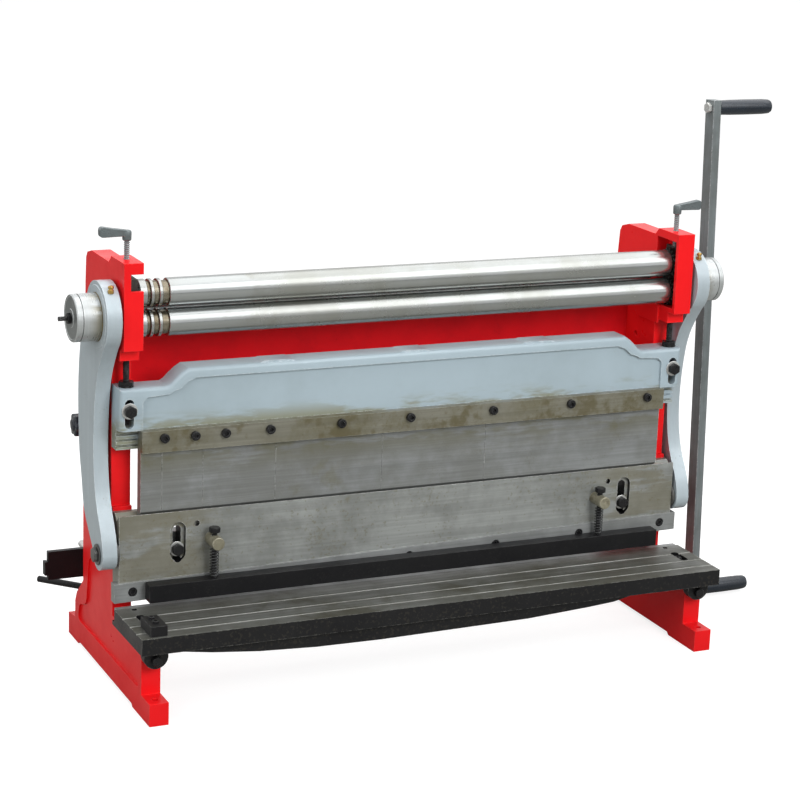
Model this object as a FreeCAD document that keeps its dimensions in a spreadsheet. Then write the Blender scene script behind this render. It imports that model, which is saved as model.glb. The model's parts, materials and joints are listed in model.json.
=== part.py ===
import FreeCAD, Part
import math
import os
import re

import Sketcher

from FreeCAD import Placement, Rotation, Vector

# A bench machine that rolls, bends and shears sheet metal. Two side frames carry a pair of
# pinch rolls and a rear forming roll, a fixed beam with bending fingers, a sliding ram with the
# upper blade, and a table with the lower blade. X runs along the rolls, Y from the front to the
# back, Z up. The origin is the centre of the four foot bolts, on the floor.

SIDES = {"left": -1, "right": 1}

DRIVING = {
    # side frames
    "frame_gap": 1024.0,         # clear width between the frames
    "frame_wall": 34.0,          # thickness of a frame casting
    "foot_spacing": 432.0,       # front foot hole to rear foot hole
    "foot_edge": 20.0,           # foot hole to the end of the foot
    "foot_inset": 18.0,          # foot hole from the frame's inner face
    "foot_hole": 6.0,            # radius
    "foot_pad_height": 40.0,
    "foot_pad_length": 45.0,
    "sole_front": 93.0,
    "sole_rear": 61.0,
    "sole_relief": 5.0,
    "flare_height": 92.0,        # the rear foot's flare, above its pad
    "flare_step": 41.0,          # foot end to the flare
    "table_seat": 125.6,         # height of the ledge under the table
    "slide_face": -29.6,         # the face the ram slides on
    "slide_top": 322.0,
    "column_face": -20.0,        # the face the beam is bolted to
    "column_back": 145.0,
    "column_taper": 12.0,
    "taper_start": 260.0,
    "head_front": -86.0,
    "head_cover": 59.6,          # upper roll's axis to the top of the head
    "head_step": 12.5,           # drop of the head's top behind its front block
    "head_step_place": 72.0,     # front block's length
    "head_back_round": 36.0,
    "lug_length": 32.0,
    "lug_drop": 12.0,
    "jack_offset": 2.0,          # jack screw behind the middle of the lug
    "lug_setback": 22.0,
    "chin_rise": 9.0,            # head's floor to the foot of its front wall
    "pocket_wall": 8.0,          # head front to the bearing pocket
    "pocket_length": 68.0,
    "pocket_depth": 25.0,
    "pocket_below": 29.5,        # lower roll axis to the pocket's floor
    "pocket_above": 44.6,        # upper roll axis to the pocket's roof
    "notch_width": 22.0,
    "notch_height": 29.0,
    "notch_drop": 4.0,
    "panel_front": 84.0,         # sheet behind the rolls
    "panel_thickness": 8.0,
    "panel_overlap": 12.0,       # panel's top edge above the head's floor
    "panel_depth": 172.0,
    # rolls and their gears
    "roll_radius": 24.3,
    "roll_gap": 2.8,             # between the two pinch rolls
    "roll_back": -45.5,          # the pinch rolls' Y
    "roll_above_floor": 47.0,    # lower roll's axis above the head's floor
    "roll_overhang": 1.0,        # the pinch rolls run this far into the pockets
    "rear_roll_back": 61.5,      # behind the pinch rolls
    "rear_roll_rise": 25.0,      # above the lower roll
    "rear_roll_play": 6.0,       # rear roll's end to the frame
    "journal_radius": 12.0,
    "rear_journal": 10.0,
    "drive_end": 11.0,           # radius of the lower roll's ends, inside the hubs
    "drive_reach": 29.0,         # past the frames
    "wire_groove_depth": 4.0,
    "wire_groove_start": 14.0,   # roll end to the first wiring groove
    "running_play": 0.06,        # radial play of a bearing
    "loose_play": 0.6,           # radial play where nothing is carried
    "roll_teeth": 17.0,
    "idler_teeth": 20.0,
    "gear_width": 12.0,
    "gear_inset": 3.0,           # frame's inner face to a gear
    "gear_space": 1.6,           # free space beside and around a gear
    "cover_margin": 6.0,
    "journal_play": 0.5,         # end play of a journal
    "bearing_margin": 6.0,       # pocket's wall to the bearing block
    "bearing_drop": 15.0,        # pocket's roof to the bearing block
    "cover_thickness": 4.0,
    "idler_pin": 8.0,
    "idler_pin_skin": 3.0,       # metal left outside the idler pin's end
    "shaft_behind": 99.3,        # crank shaft behind the lower roll
    "shaft_below": 7.0,
    "shaft_radius": 9.0,
    "shaft_stub": 4.0,
    # crank
    "crank_start": 109.0,        # frame's outer face to the crank bar
    "crank_thickness": 16.5,
    "crank_width": 29.0,
    "crank_tilt": 2.55,          # degrees, top to the rear
    "top_throw": 327.3,
    "bottom_throw": 621.6,
    "crank_end": 15.0,           # bar past a grip's axis
    "grip_radius": 14.5,
    "grip_length": 117.0,
    "grip_pin": 6.0,
    "grip_play": 1.5,
    "pin_head": 7.0,
    "pin_flats": 18.0,
    # hubs and arms
    "throw_back": 9.0,           # hub axis behind the lower roll
    "throw_up": 13.6,            # hub axis above the lower roll
    "hub_radius": 40.4,
    "hub_hollow": 35.0,
    "hub_length": 70.0,
    "hub_cap": 22.0,
    "hub_play": 0.5,
    "hub_groove_place": 17.5,    # hub's outer face to its groove
    "hub_groove_width": 9.0,
    "hub_groove_depth": 1.4,
    "hub_screw": 4.0,
    "hub_screw_reach": 22.0,
    "hub_nut": 7.0,
    "hub_nut_flats": 17.0,
    "arm_gap": 6.0,              # frame to arm
    "arm_thickness": 26.0,
    "arm_bow": 0.2663,           # how far the back edge bows out, as a share of the arm's span
    "big_end": 61.0,
    "small_end": 28.0,
    "pin_back": -48.0,
    "pin_height": 247.0,
    "pin_radius": 10.0,
    "pin_disc": 24.0,
    "pin_washer": 18.5,
    "pin_washer_thickness": 2.5,
    "pin_play": 0.4,
    "pin_seat": 25.0,
    "arm_pin_head": 7.0,
    "arm_pin_flats": 24.0,
    "disc_play": 0.3,
    "oil_cup_radius": 5.5,
    "oil_cup_front": 37.5,       # ahead of the hub axis
    "oil_cup_sink": 1.5,
    "oil_cup_height": 14.0,
    "oil_cup_depth": 6.0,
    "oil_cup_wall": 2.0,
    # ram and upper blade
    "ram_thickness": 35.0,
    "slide_play": 0.4,
    "ram_top": 315.5,
    "ram_low": 195.6,            # underside at the left end
    "blade_rake": 21.5,          # rise of the underside from left to right
    "lip_thickness": 20.0,       # the ram's rear lip behind the blade
    "lip_root": 5.0,
    "blade_thickness": 18.6,
    "blade_height": 33.7,
    "blade_overhang": 9.0,       # past the ram
    "blade_edge": 5.0,           # the blade reaches this far below the lip
    "blade_screw_spacing": 174.0,
    "blade_screw": 4.5,
    "blade_screw_head": 8.0,
    "blade_screw_seat": 8.5,
    "blade_seat_depth": 6.0,
    "blade_head_sink": 0.5,
    "socket_flats": 6.5,
    "socket_depth": 3.5,
    "die_width": 22.0,
    "die_set": 13.0,             # ram front to the die's centre
    "slot_place": 440.0,
    "slot_radius": 7.5,
    "slot_low": 223.0,
    "slot_high": 288.0,
    "recess_radius": 14.0,
    "recess_low": 226.0,
    "recess_high": 296.0,
    "recess_depth": 8.0,
    "guide_bolt_height": 246.0,
    "guide_bolt_radius": 6.0,
    "guide_washer": 13.5,
    "guide_washer_thickness": 3.0,
    "guide_bolt_grip": 18.0,
    "guide_flats": 22.0,
    "guide_bar_low": 222.0,
    "guide_bar_height": 46.0,
    "guide_bar_thickness": 23.0,
    "ram_hole_place": 406.0,
    "ram_hole_height": 291.0,
    "ram_hole": 5.0,
    "ram_hole_depth": 9.0,
    # hold-down bar
    "hold_half": 500.5,
    "hold_gap": 6.0,             # ram to bar
    "hold_thickness": 25.0,
    "hold_low": 165.0,
    "hold_height": 31.0,
    "stud_place": 380.0,
    "stud_height": 262.0,
    "stud_radius": 11.5,
    "stud_reach": 40.0,
    "stud_neck": 3.0,            # the stud's root is this much thinner
    "stud_root": 14.0,
    "hold_bolt": 5.0,
    "hold_bolt_rise": 4.0,       # free height under a bolt's head
    "hold_bolt_flats": 18.0,
    "hold_bolt_head": 9.5,
    "hold_bolt_seat": 16.0,
    "spring_radius": 7.2,        # to the wire's centre
    "spring_wire": 0.95,         # radius
    "spring_turns": 10.0,
    "spring_play": 0.2,
    # beam, fingers and clamp strip
    "beam_thickness": 46.0,
    "shoulder_height": 539.0,    # the beam's shoulders; the head and the rolls stand over them
    "jack_room": 61.0,           # shoulder to the head's floor
    "beam_depth": 74.0,          # shoulder to the beam's underside
    "beam_crown": 29.0,          # the beam's rim above its shoulders
    "shoulder_place": 462.0,
    "beam_curve": 37.0,          # length of the curve from shoulder to rim
    "panel_recess": 6.0,
    "rim_height": 17.0,
    "end_boss": 41.0,            # beam's end to the recess
    "boss_drop": 24.0,           # shoulder to the end boss's top
    "beam_slot_radius": 8.0,
    "beam_slot_drop": 18.0,      # shoulder to the slot's top
    "beam_slot_length": 51.0,
    "beam_bolt_drop": 38.0,      # shoulder to the bolt's axis
    "beam_bolt": 6.5,
    "beam_bolt_grip": 30.0,
    "beam_washer": 14.0,
    "washer_thickness": 2.5,
    "hex_flats": 22.0,
    "hex_height": 9.5,
    "back_lip": 25.0,            # thickness of the lip behind the fingers
    "back_lip_drop": 37.0,
    "finger_thickness": 18.0,
    "finger_tip": 308.5,
    "finger_slope": 11.0,
    "finger_gap": 0.3,
    "finger_width_1": 38.0,
    "finger_width_2": 74.0,
    "finger_width_3": 134.0,
    "finger_width_4": 203.0,
    "finger_width_5": 204.0,
    "finger_width_6": 363.0,
    "strip_thickness": 12.0,
    "strip_height": 38.3,
    "strip_setback": 3.3,
    "strip_screw": 5.0,
    "strip_screw_head": 8.0,
    "strip_screw_head_height": 7.0,
    "strip_screw_depth": 12.0,
    "strip_screw_drop": 13.0,    # beam's underside to the screws
    "jack_radius": 5.5,
    "jack_flats": 24.0,
    "jack_head": 10.0,
    "jack_in_lug": 15.0,
    "jack_play": 0.3,
    # pressure screws on the heads
    "pressure_radius": 5.0,
    "pressure_rise": 31.0,
    "lever_boss": 8.0,
    "lever_boss_height": 18.0,
    "lever_reach": 48.0,
    "lever_width": 12.0,
    "lever_lift": 2.0,
    "lever_root": 8.0,           # boss's foot to the lever's underside at the boss
    "lever_tip": 7.0,            # and at the tip
    "lever_rise": 8.0,           # the tip over the boss's top
    "lever_round": 6.0,
    "pressure_foot": 14.5,       # pocket's roof to the screw's foot
    # table and lower blade
    "table_overhang": 12.7,      # past the frames
    "table_front": -232.0,
    "table_thickness": 29.4,
    "shear_gap": 0.4,
    "edge_thickness": 11.0,
    "edge_height": 22.0,
    "score_width": 3.0,
    "score_depth": 2.0,
    "table_slot_inset": 32.7,    # from the table's end
    "table_slot_radius": 8.0,
    "table_slot_front": -165.0,
    "table_slot_back": -117.0,
    "table_bolt_back": -136.0,
    "table_bolt": 5.0,
    "table_bolt_grip": 25.0,
    "table_bolt_head": 7.5,
    "table_head_height": 8.0,
    "table_counterbore": 11.0,
    "table_back_hole": 5.0,
    "table_back_hole_inset": 9.0,
    "table_back_hole_depth": 10.0,
    "lug_radius": 21.5,
    "table_lug_height": 114.0,
    "table_lug_front": -212.0,
    "table_lug_length": 18.0,
    "table_lug_inset": 31.7,     # from the table's end
    "adjuster_radius": 5.0,
    "adjuster_drop": 6.0,
    "adjuster_head": 9.0,
    "adjuster_flats": 16.0,
    "rib_thickness": 10.0,
    "rib_setback": 12.0,
    "rib_drop": 28.0,
    "block_inset": 17.7,         # from the table's end
    "block_width": 29.0,
    "block_front": -226.0,
    "block_back": -170.0,
    "block_height": 18.0,
    "block_screw": 3.5,
    "block_screw_head": 6.0,
    "block_head_height": 3.5,
    "block_screw_depth": 9.0,
    # side knobs
    "knob_play": 14.3,           # arm's bow to the knob
    "knob_drop": 163.0,          # head's floor to the knob
    "knob_radius": 20.5,
    "knob_shaft": 5.0,
    "knob_stand": 12.0,
    "knob_length": 24.0,
    "knob_seat": 15.0,
    "knob_dome": 5.0,
    # back gauge
    "gauge_half": 591.0,
    "gauge_back": 214.0,
    "gauge_thickness": 10.0,
    "gauge_height": 54.0,
    "gauge_rod_inset": 16.0,     # rod's axis from the frame's inner face
    "gauge_rod": 7.0,
    "gauge_rod_end": 320.0,
    "bracket_back": 128.0,
    "bracket_length": 34.0,
    "bracket_half": 16.0,
    "gauge_block_length": 34.0,
    "gauge_lever_height": 90.0,
    "gauge_lever_radius": 6.0,
    "gauge_lever_reach": 132.0,
    "gauge_lever_slant": 134.0,  # degrees from +X towards the back
    "gauge_screw": 6.0,
    "gauge_screw_gap": 6.0,      # free height between the clamp screw and the rod
    "gauge_block_setback": 2.0,
    "gauge_plate": 6.0,
    "gauge_plate_low": 18.0,
    "gauge_plate_high": 8.0,
    "gauge_plate_back": 4.0,
}

FORMULAS = {
    "frame_in": "frame_gap / 2",
    "frame_out": "frame_in + frame_wall",
    "frame_mid": "frame_in + frame_wall / 2",
    "foot_reach": "foot_spacing / 2 + foot_edge",
    "foot_place": "frame_in + foot_inset",
    "head_floor": "shoulder_height + jack_room",
    "lower_roll_height": "head_floor + roll_above_floor",
    "upper_roll_height": "lower_roll_height + 2 * roll_radius + roll_gap",
    "head_top": "upper_roll_height + head_cover",
    "head_level": "head_top - head_step",
    "panel_high": "head_floor + panel_overlap",
    "panel_low": "panel_high - panel_depth",
    "rear_roll_y": "roll_back + rear_roll_back",
    "rear_roll_z": "lower_roll_height + rear_roll_rise",
    "roll_half": "frame_in + roll_overhang",
    "pocket_front": "head_front + pocket_wall",
    "pocket_back": "pocket_front + pocket_length",
    "pocket_low": "lower_roll_height - pocket_below",
    "pocket_high": "upper_roll_height + pocket_above",
    "pocket_floor": "frame_in + pocket_depth",
    "gear_module": "(2 * roll_radius + roll_gap) / roll_teeth",
    "roll_gear": "gear_module * roll_teeth / 2",
    "idler_gear": "gear_module * idler_teeth / 2",
    "gear_start": "frame_in + gear_inset",
    "gear_end": "gear_start + gear_width",
    "shaft_y": "roll_back + shaft_behind",
    "shaft_z": "lower_roll_height - shaft_below",
    "train_span": "sqrt(shaft_behind ^ 2 + shaft_below ^ 2)",
    "train_sag": "sqrt((roll_gear + idler_gear) ^ 2 - (train_span / 2) ^ 2)",
    "idler_y": "roll_back + shaft_behind / 2 - train_sag * shaft_below / train_span",
    "idler_z": "lower_roll_height - shaft_below / 2 - train_sag * shaft_behind / train_span",
    "crank_in": "frame_out + crank_start",
    "crank_out": "crank_in + crank_thickness",
    "hub_y": "roll_back + throw_back",
    "hub_z": "lower_roll_height + throw_up",
    "arm_in": "frame_out + arm_gap",
    "arm_out": "arm_in + arm_thickness",
    "hub_in": "arm_in + hub_play",
    "cup_y": "hub_y - oil_cup_front",
    "cup_foot": "hub_z + sqrt(big_end ^ 2 - oil_cup_front ^ 2) - oil_cup_sink",
    "arm_span": "sqrt((hub_y - pin_back) ^ 2 + (hub_z - pin_height) ^ 2)",
    "hub_out": "hub_in + hub_length",
    "ram_back": "slide_face - slide_play",
    "ram_front": "ram_back - ram_thickness",
    "ram_slope": "blade_rake / (2 * frame_out)",
    "guide_washer_back": "ram_front + recess_depth - slide_play",
    "guide_washer_front": "guide_washer_back - guide_washer_thickness",
    "blade_back": "ram_back - lip_thickness",
    "blade_front": "blade_back - blade_thickness",
    "blade_half": "frame_out + blade_overhang",
    "blade_top_left": "ram_low - blade_overhang * ram_slope",
    "blade_top_right": "ram_low + blade_rake + blade_overhang * ram_slope",
    "die_y": "ram_front + die_set",
    "die_depth": "die_width / 2",
    "hold_back": "ram_front - hold_gap",
    "hold_front": "hold_back - hold_thickness",
    "hold_y": "(hold_back + hold_front) / 2",
    "hold_high": "hold_low + hold_height",
    "stud_top": "stud_height + stud_radius",
    "spring_top": "stud_height - stud_radius",
    "beam_front": "column_face - beam_thickness",
    "beam_low": "shoulder_height - beam_depth",
    "beam_high": "shoulder_height + beam_crown",
    "boss_top": "shoulder_height - boss_drop",
    "beam_bolt_height": "shoulder_height - beam_bolt_drop",
    "beam_slot_high": "shoulder_height - beam_slot_drop",
    "beam_slot_low": "beam_slot_high - beam_slot_length",
    "back_lip_low": "beam_low - back_lip_drop",
    "finger_back": "column_face - back_lip",
    "finger_front": "finger_back - finger_thickness",
    "strip_front": "finger_front - strip_thickness",
    "strip_low": "beam_low - strip_height",
    "strip_half": "frame_in - strip_setback",
    "strip_screw_height": "beam_low - strip_screw_drop",
    "strip_screw_end": "finger_back + strip_screw_depth",
    "lug_front": "head_front + lug_setback",
    "lug_y": "lug_front + lug_length / 2 + jack_offset",
    "lug_low": "head_floor - lug_drop",
    "table_top": "table_seat + table_thickness",
    "table_half": "frame_out + table_overhang",
    "table_slot_place": "table_half - table_slot_inset",
    "table_bore_low": "table_top - table_counterbore",
    "table_lug_back": "table_lug_front + table_lug_length",
    "adjuster_height": "table_lug_height - adjuster_drop",
    "block_outer": "table_half - block_inset",
    "block_inner": "block_outer - block_width",
    "block_top": "table_top + block_height",
    "block_screw_low": "table_top - block_screw_depth",
    "knob_height": "head_floor - knob_drop",
    "knob_back": "pin_back + arm_bow * arm_span + knob_play + knob_radius",
    "edge_back": "blade_front - shear_gap",
    "edge_front": "edge_back - edge_thickness",
    "edge_low": "table_top - edge_height",
    "front_wall": "foot_pad_length - foot_reach",
    "gauge_z": "table_seat + table_thickness / 2",
    "gauge_rod_x": "frame_in - gauge_rod_inset",
    "gauge_end": "gauge_back + gauge_thickness",
    "gauge_block_y": "gauge_back - gauge_block_length",
    "gauge_screw_y": "gauge_back - gauge_block_length / 2",
}

# the fingers' widths from left to right, and the places of the screws along the rolls
FINGER_WIDTHS = [f"finger_width_{number}" for number in range(1, 7)]
STRIP_SCREWS = (-470.0, -415.0, -360.0, -278.0, -145.0, -12.0, 152.0, 311.0, 472.0)
WIRE_GROOVES = ((0.0, 6.0), (12.0, 9.0), (27.0, 12.0))

# the arm's two edges between its ends, by share of the way from pin to hub: the front edge
# with its distance behind the line from pin to hub as a share of the arm's span, the back edge
# with that distance as a share of the bow
ARM_FRONT = ((0.109, -0.0370), (0.189, 0.0092), (0.309, 0.0469), (0.476, 0.0544),
             (0.612, 0.0387), (0.740, 0.0036), (0.824, -0.0447))
ARM_BACK = ((0.834, 0.866), (0.723, 0.959), (0.592, 1.000), (0.464, 0.986), (0.358, 0.943),
            (0.259, 0.844), (0.138, 0.7205), (0.068, 0.508))

# the table's belly rib: place along the table and share of the full drop
TABLE_RIB = ((-515.0, 0.0), (-430.0, 0.45), (-345.0, 0.76), (-241.0, 0.95), (-119.0, 1.0),
             (59.0, 0.95), (169.0, 0.86), (291.0, 0.60), (343.0, 0.45), (400.0, 0.0))

doc = FreeCAD.newDocument("SheetMetalMachine")
sheet = doc.addObject("Spreadsheet::Sheet", "Sizes")
nodes = {}


def fill_sheet():
    """Write every size into the sheet, under its name."""
    rows = [(alias, str(value)) for alias, value in DRIVING.items()]
    rows += [(alias, "=" + formula) for alias, formula in FORMULAS.items()]
    for row, (alias, content) in enumerate(rows, start=1):
        sheet.set(f"A{row}", alias)
        sheet.set(f"B{row}", content)
        sheet.setAlias(f"B{row}", alias)
    doc.recompute()


def size(alias):
    return float(sheet.get(alias))


def linked(formula):
    """The formula with each size's name pointing at its cell."""
    known = set(DRIVING) | set(FORMULAS)
    return re.sub(r"[a-z_]+[0-9]?", lambda word: f"Sizes.{word[0]}" if word[0] in known else word[0],
                  str(formula))


def bind(thing, **formulas):
    for path, formula in formulas.items():
        thing.setExpression(path.replace("_", "."), linked(formula))


def mirrored(side, near, far):
    """A span along X from near to far on one side of the machine, low end first."""
    if SIDES[side] > 0:
        return near, far
    return f"-({far})", f"-({near})"


def on_side(side, place):
    return f"{SIDES[side]} * ({place})"


# ---------------------------------------------------------------- shapes shared by the parts

def box(name, x, y, z):
    """A block between two planes on each axis."""
    block = doc.addObject("Part::Box", name)
    for length, letter, (low, high) in zip(("Length", "Width", "Height"), "xyz", (x, y, z)):
        bind(block, **{length: f"({high}) - ({low})", f"Placement_Base_{letter}": low})
    return block


TURNS = {"x": Rotation(Vector(0, 1, 0), 90), "y": Rotation(Vector(1, 0, 0), -90), "z": Rotation()}


def laid(thing, axis, span, centre):
    """Lay a cylinder or prism along an axis, from span[0] to span[1]."""
    thing.Placement = Placement(Vector(), TURNS[axis])
    across = [letter for letter in "xyz" if letter != axis]
    bind(thing, Height=f"({span[1]}) - ({span[0]})", **{f"Placement_Base_{axis}": span[0]})
    for letter, place in zip(across, centre):
        bind(thing, **{f"Placement_Base_{letter}": place})
    return thing


def rod(name, axis, span, centre, radius):
    thing = doc.addObject("Part::Cylinder", name)
    bind(thing, Radius=radius)
    return laid(thing, axis, span, centre)


def hexagon(name, axis, span, centre, flats):
    thing = doc.addObject("Part::Prism", name)
    thing.Polygon = 6
    bind(thing, Circumradius=f"({flats}) / sqrt(3)")
    return laid(thing, axis, span, centre)


def slot(name, x, z, y, radius):
    """A long hole with round ends, upright, cut along Y."""
    low, high = z
    middle = box(name + "_middle", (f"{x} - ({radius})", f"{x} + ({radius})"), y,
                 (f"{low} + {radius}", f"{high} - {radius}"))
    ends = [rod(f"{name}_{end}", "y", y, (x, place), radius)
            for end, place in (("low", f"{low} + {radius}"), ("high", f"{high} - {radius}"))]
    return fuse(name, middle, *ends)


def fuse(name, *pieces):
    whole = doc.addObject("Part::MultiFuse", name)
    whole.Shapes = list(pieces)
    whole.Refine = True
    return whole


def cut(name, base, *tools):
    """The base with every tool taken out of it."""
    tool = tools[0] if len(tools) == 1 else fuse(name + "_tools", *tools)
    rest = doc.addObject("Part::Cut", name)
    rest.Base = base
    rest.Tool = tool
    rest.Refine = True
    return rest


def group(name, pieces):
    """Separate solids that share a node."""
    together = doc.addObject("Part::Compound", name)
    together.Links = list(pieces)
    return together


def outline_sketch(body, name, role, outline):
    """A closed outline of straight lines on an origin plane; each corner is held by formulas."""
    sketch = body.newObject("Sketcher::SketchObject", name)
    plane = next(plane for plane in body.Origin.OriginFeatures if plane.Role == role)
    sketch.AttachmentSupport = (plane, [""])
    sketch.MapMode = "FlatFace"
    count = len(outline)
    ring = [Rotation(Vector(0, 0, 1), 360 * step / count).multVec(Vector(1, 0, 0))
            for step in range(count)]
    for step in range(count):
        sketch.addGeometry(Part.LineSegment(ring[step], ring[(step + 1) % count]), False)
    for step in range(count):
        sketch.addConstraint(Sketcher.Constraint("Coincident", step, 2, (step + 1) % count, 1))
    for step, corner in enumerate(outline):
        for kind, place in zip(("DistanceX", "DistanceY"), corner):
            start = ring[step].x if kind == "DistanceX" else ring[step].y
            index = sketch.addConstraint(Sketcher.Constraint(kind, -1, 1, step, 1, start))
            sketch.setExpression(f"Constraints[{index}]", linked(place))
    return sketch


def prism(name, role, outline, span):
    """An outline on an origin plane, padded from span[0] to span[1] along the plane's normal."""
    body = doc.addObject("PartDesign::Body", name)
    sketch = outline_sketch(body, name + "_outline", role, outline)
    sketch.setExpression("AttachmentOffset.Base.z", linked(span[0]))
    pad = body.newObject("PartDesign::Pad", name + "_pad")
    pad.Profile = sketch
    bind(pad, Length=f"({span[1]}) - ({span[0]})")
    return body


def across(name, outline, y):
    """A prism along Y: outline in X and Z, from the front y[0] to the back y[1]."""
    return prism(name, "XZ_Plane", outline, (f"-({y[1]})", f"-({y[0]})"))


def turned(name, profile, centre):
    """A round piece about an axis along X; the profile gives places along X and radii."""
    body = doc.addObject("PartDesign::Body", name)
    outline = [(profile[0][0], "0"), *profile, (profile[-1][0], "0")]
    sketch = outline_sketch(body, name + "_profile", "XZ_Plane", outline)
    round_piece = body.newObject("PartDesign::Revolution", name + "_turn")
    round_piece.Profile = sketch
    round_piece.ReferenceAxis = (sketch, ["H_Axis"])
    round_piece.Angle = 360.0
    bind(body, Placement_Base_y=centre[0], Placement_Base_z=centre[1])
    return body


def shaped(name, shape, place=Placement()):
    """A piece whose shape is worked out here from the sheet's sizes."""
    thing = doc.addObject("Part::Feature", name)
    thing.Shape = shape
    thing.Placement = place
    return thing


def keep(name, thing):
    """Take a piece as one of the machine's nodes."""
    thing.Label = name
    nodes[name] = thing


# ---------------------------------------------------------------- side frames

def frame_outline():
    """The casting's outline in Y and Z, from the front toe round to the table's ledge."""
    reach = "foot_reach"
    flare = "foot_reach - flare_step"
    return [
        (f"-{reach}", "0"),
        (f"sole_front - {reach}", "0"),
        (f"sole_front - {reach} + sole_relief", "sole_relief"),
        (f"{reach} - sole_rear - sole_relief", "sole_relief"),
        (f"{reach} - sole_rear", "0"),
        (reach, "0"),
        (reach, "foot_pad_height"),
        (flare, "foot_pad_height + 0.06 * flare_height"),
        (flare, "foot_pad_height + 0.40 * flare_height"),
        (f"{flare} - 0.2 * ({flare} - column_back)", "foot_pad_height + 0.61 * flare_height"),
        (f"{flare} - 0.7 * ({flare} - column_back)", "foot_pad_height + 0.85 * flare_height"),
        ("column_back", "foot_pad_height + flare_height"),
        ("column_back", "taper_start"),
        ("column_back - column_taper", "head_top - 2 * head_back_round"),
        ("column_back - column_taper - 0.1 * head_back_round", "head_level - 0.5 * head_back_round"),
        ("column_back - column_taper - 0.3 * head_back_round", "head_level - 0.2 * head_back_round"),
        ("column_back - column_taper - head_back_round", "head_level"),
        ("head_front + head_step_place + head_step", "head_level"),
        ("head_front + head_step_place", "head_top"),
        ("head_front", "head_top"),
        ("head_front", "head_floor + chin_rise"),
        ("lug_front", "head_floor + chin_rise"),
        ("lug_front", "lug_low"),
        ("lug_front + lug_length", "lug_low"),
        ("lug_front + lug_length", "head_floor"),
        ("column_face", "head_floor"),
        ("column_face", "slide_top"),
        ("slide_face", "slide_top"),
        ("slide_face", "table_seat"),
        ("front_wall", "table_seat"),
        ("front_wall", "foot_pad_height"),
        (f"-{reach}", "foot_pad_height"),
    ]


def frame_holes(side):
    """The bores and holes that both frames have."""
    through = mirrored(side, "frame_in - 1", "frame_out + 1")
    foot = on_side(side, "foot_place")
    middle = on_side(side, "frame_mid")
    sole = ("-1", "foot_pad_height + 1")
    return [
        rod(f"{side}_front_foot_hole", "z", sole, (foot, "-foot_spacing / 2"), "foot_hole"),
        rod(f"{side}_rear_foot_hole", "z", sole, (foot, "foot_spacing / 2"), "foot_hole"),
        box(f"{side}_pocket", mirrored(side, "frame_in - 1", "pocket_floor"),
            ("pocket_front", "pocket_back"), ("pocket_low", "pocket_high")),
        rod(f"{side}_drive_hole", "x", through, ("roll_back", "lower_roll_height"),
            "drive_end + loose_play"),
        rod(f"{side}_rear_bore", "x", mirrored(side, "frame_in - 1", "pocket_floor"),
            ("rear_roll_y", "rear_roll_z"), "rear_journal + running_play"),
        rod(f"{side}_beam_bolt_hole", "y", ("column_face - 1", "column_face + beam_bolt_grip"),
            (middle, "beam_bolt_height"), "beam_bolt"),
        rod(f"{side}_jack_hole", "z", ("lug_low - 1", "lug_low + jack_in_lug + 2"),
            (middle, "lug_y"), "jack_radius + loose_play"),
        rod(f"{side}_pressure_hole", "z", ("pocket_high - 1", "head_top + 1"),
            (middle, "roll_back"), "pressure_radius + loose_play"),
        rod(f"{side}_ledge_hole", "z", ("table_seat - table_bolt_grip", "table_seat + 1"),
            (on_side(side, "table_slot_place"), "table_bolt_back"), "table_bolt"),
        rod(f"{side}_knob_hole", "x", mirrored(side, "frame_out - knob_seat - 1", "frame_out + 1"),
            ("knob_back", "knob_height"), "knob_shaft + loose_play"),
    ]


def left_notch():
    """The window in the left head's front wall, through which the journal shows."""
    return box("left_notch", ("-frame_in - notch_width", "-frame_in + 1"),
               ("head_front - 1", "pocket_front + 1"),
               ("pocket_high - notch_drop - notch_height", "pocket_high - notch_drop"))


def gear_recesses():
    """The right frame's spaces for the idler and the crank gear, and the shafts' bores."""
    deep = ("frame_in - 1", "pocket_floor")
    tip = "0.8 * gear_module + gear_space"
    idler_tip = f"idler_gear + {tip}"
    crank_tip = f"roll_gear + {tip}"
    return [
        rod("idler_recess", "x", deep, ("idler_y", "idler_z"), idler_tip),
        rod("crank_recess", "x", deep, ("shaft_y", "shaft_z"), crank_tip),
        rod("idler_pin_hole", "x", ("pocket_floor - 1", "frame_out - idler_pin_skin"),
            ("idler_y", "idler_z"), "idler_pin"),
        rod("shaft_bore", "x", ("frame_in - 1", "frame_out + 1"), ("shaft_y", "shaft_z"),
            "shaft_radius + running_play"),
    ]


def build_frames():
    for side in SIDES:
        casting = prism(f"{side}_casting", "YZ_Plane", frame_outline(),
                        mirrored(side, "frame_in", "frame_out"))
        extra = [left_notch()] if side == "left" else gear_recesses()
        keep(f"{side}_frame", cut(f"{side}_frame", casting, *frame_holes(side), *extra))
    keep("rear_panel", box("rear_panel", ("-frame_in", "frame_in"),
                           ("panel_front", "panel_front + panel_thickness"),
                           ("panel_low", "panel_high")))
    keep("guide_bar", cut("guide_bar", box("guide_bar_blank", ("-frame_in", "frame_in"),
                                           ("slide_face", "slide_face + guide_bar_thickness"),
                                           ("guide_bar_low", "guide_bar_low + guide_bar_height")),
                          *[guide_bolt_shank(f"guide_hole_{side}", side) for side in SIDES]))


def guide_bolt_shank(name, side):
    return rod(name, "y", ("guide_washer_front", "slide_face + guide_bolt_grip"),
               (on_side(side, "slot_place"), "guide_bolt_height"), "guide_bolt_radius")


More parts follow.
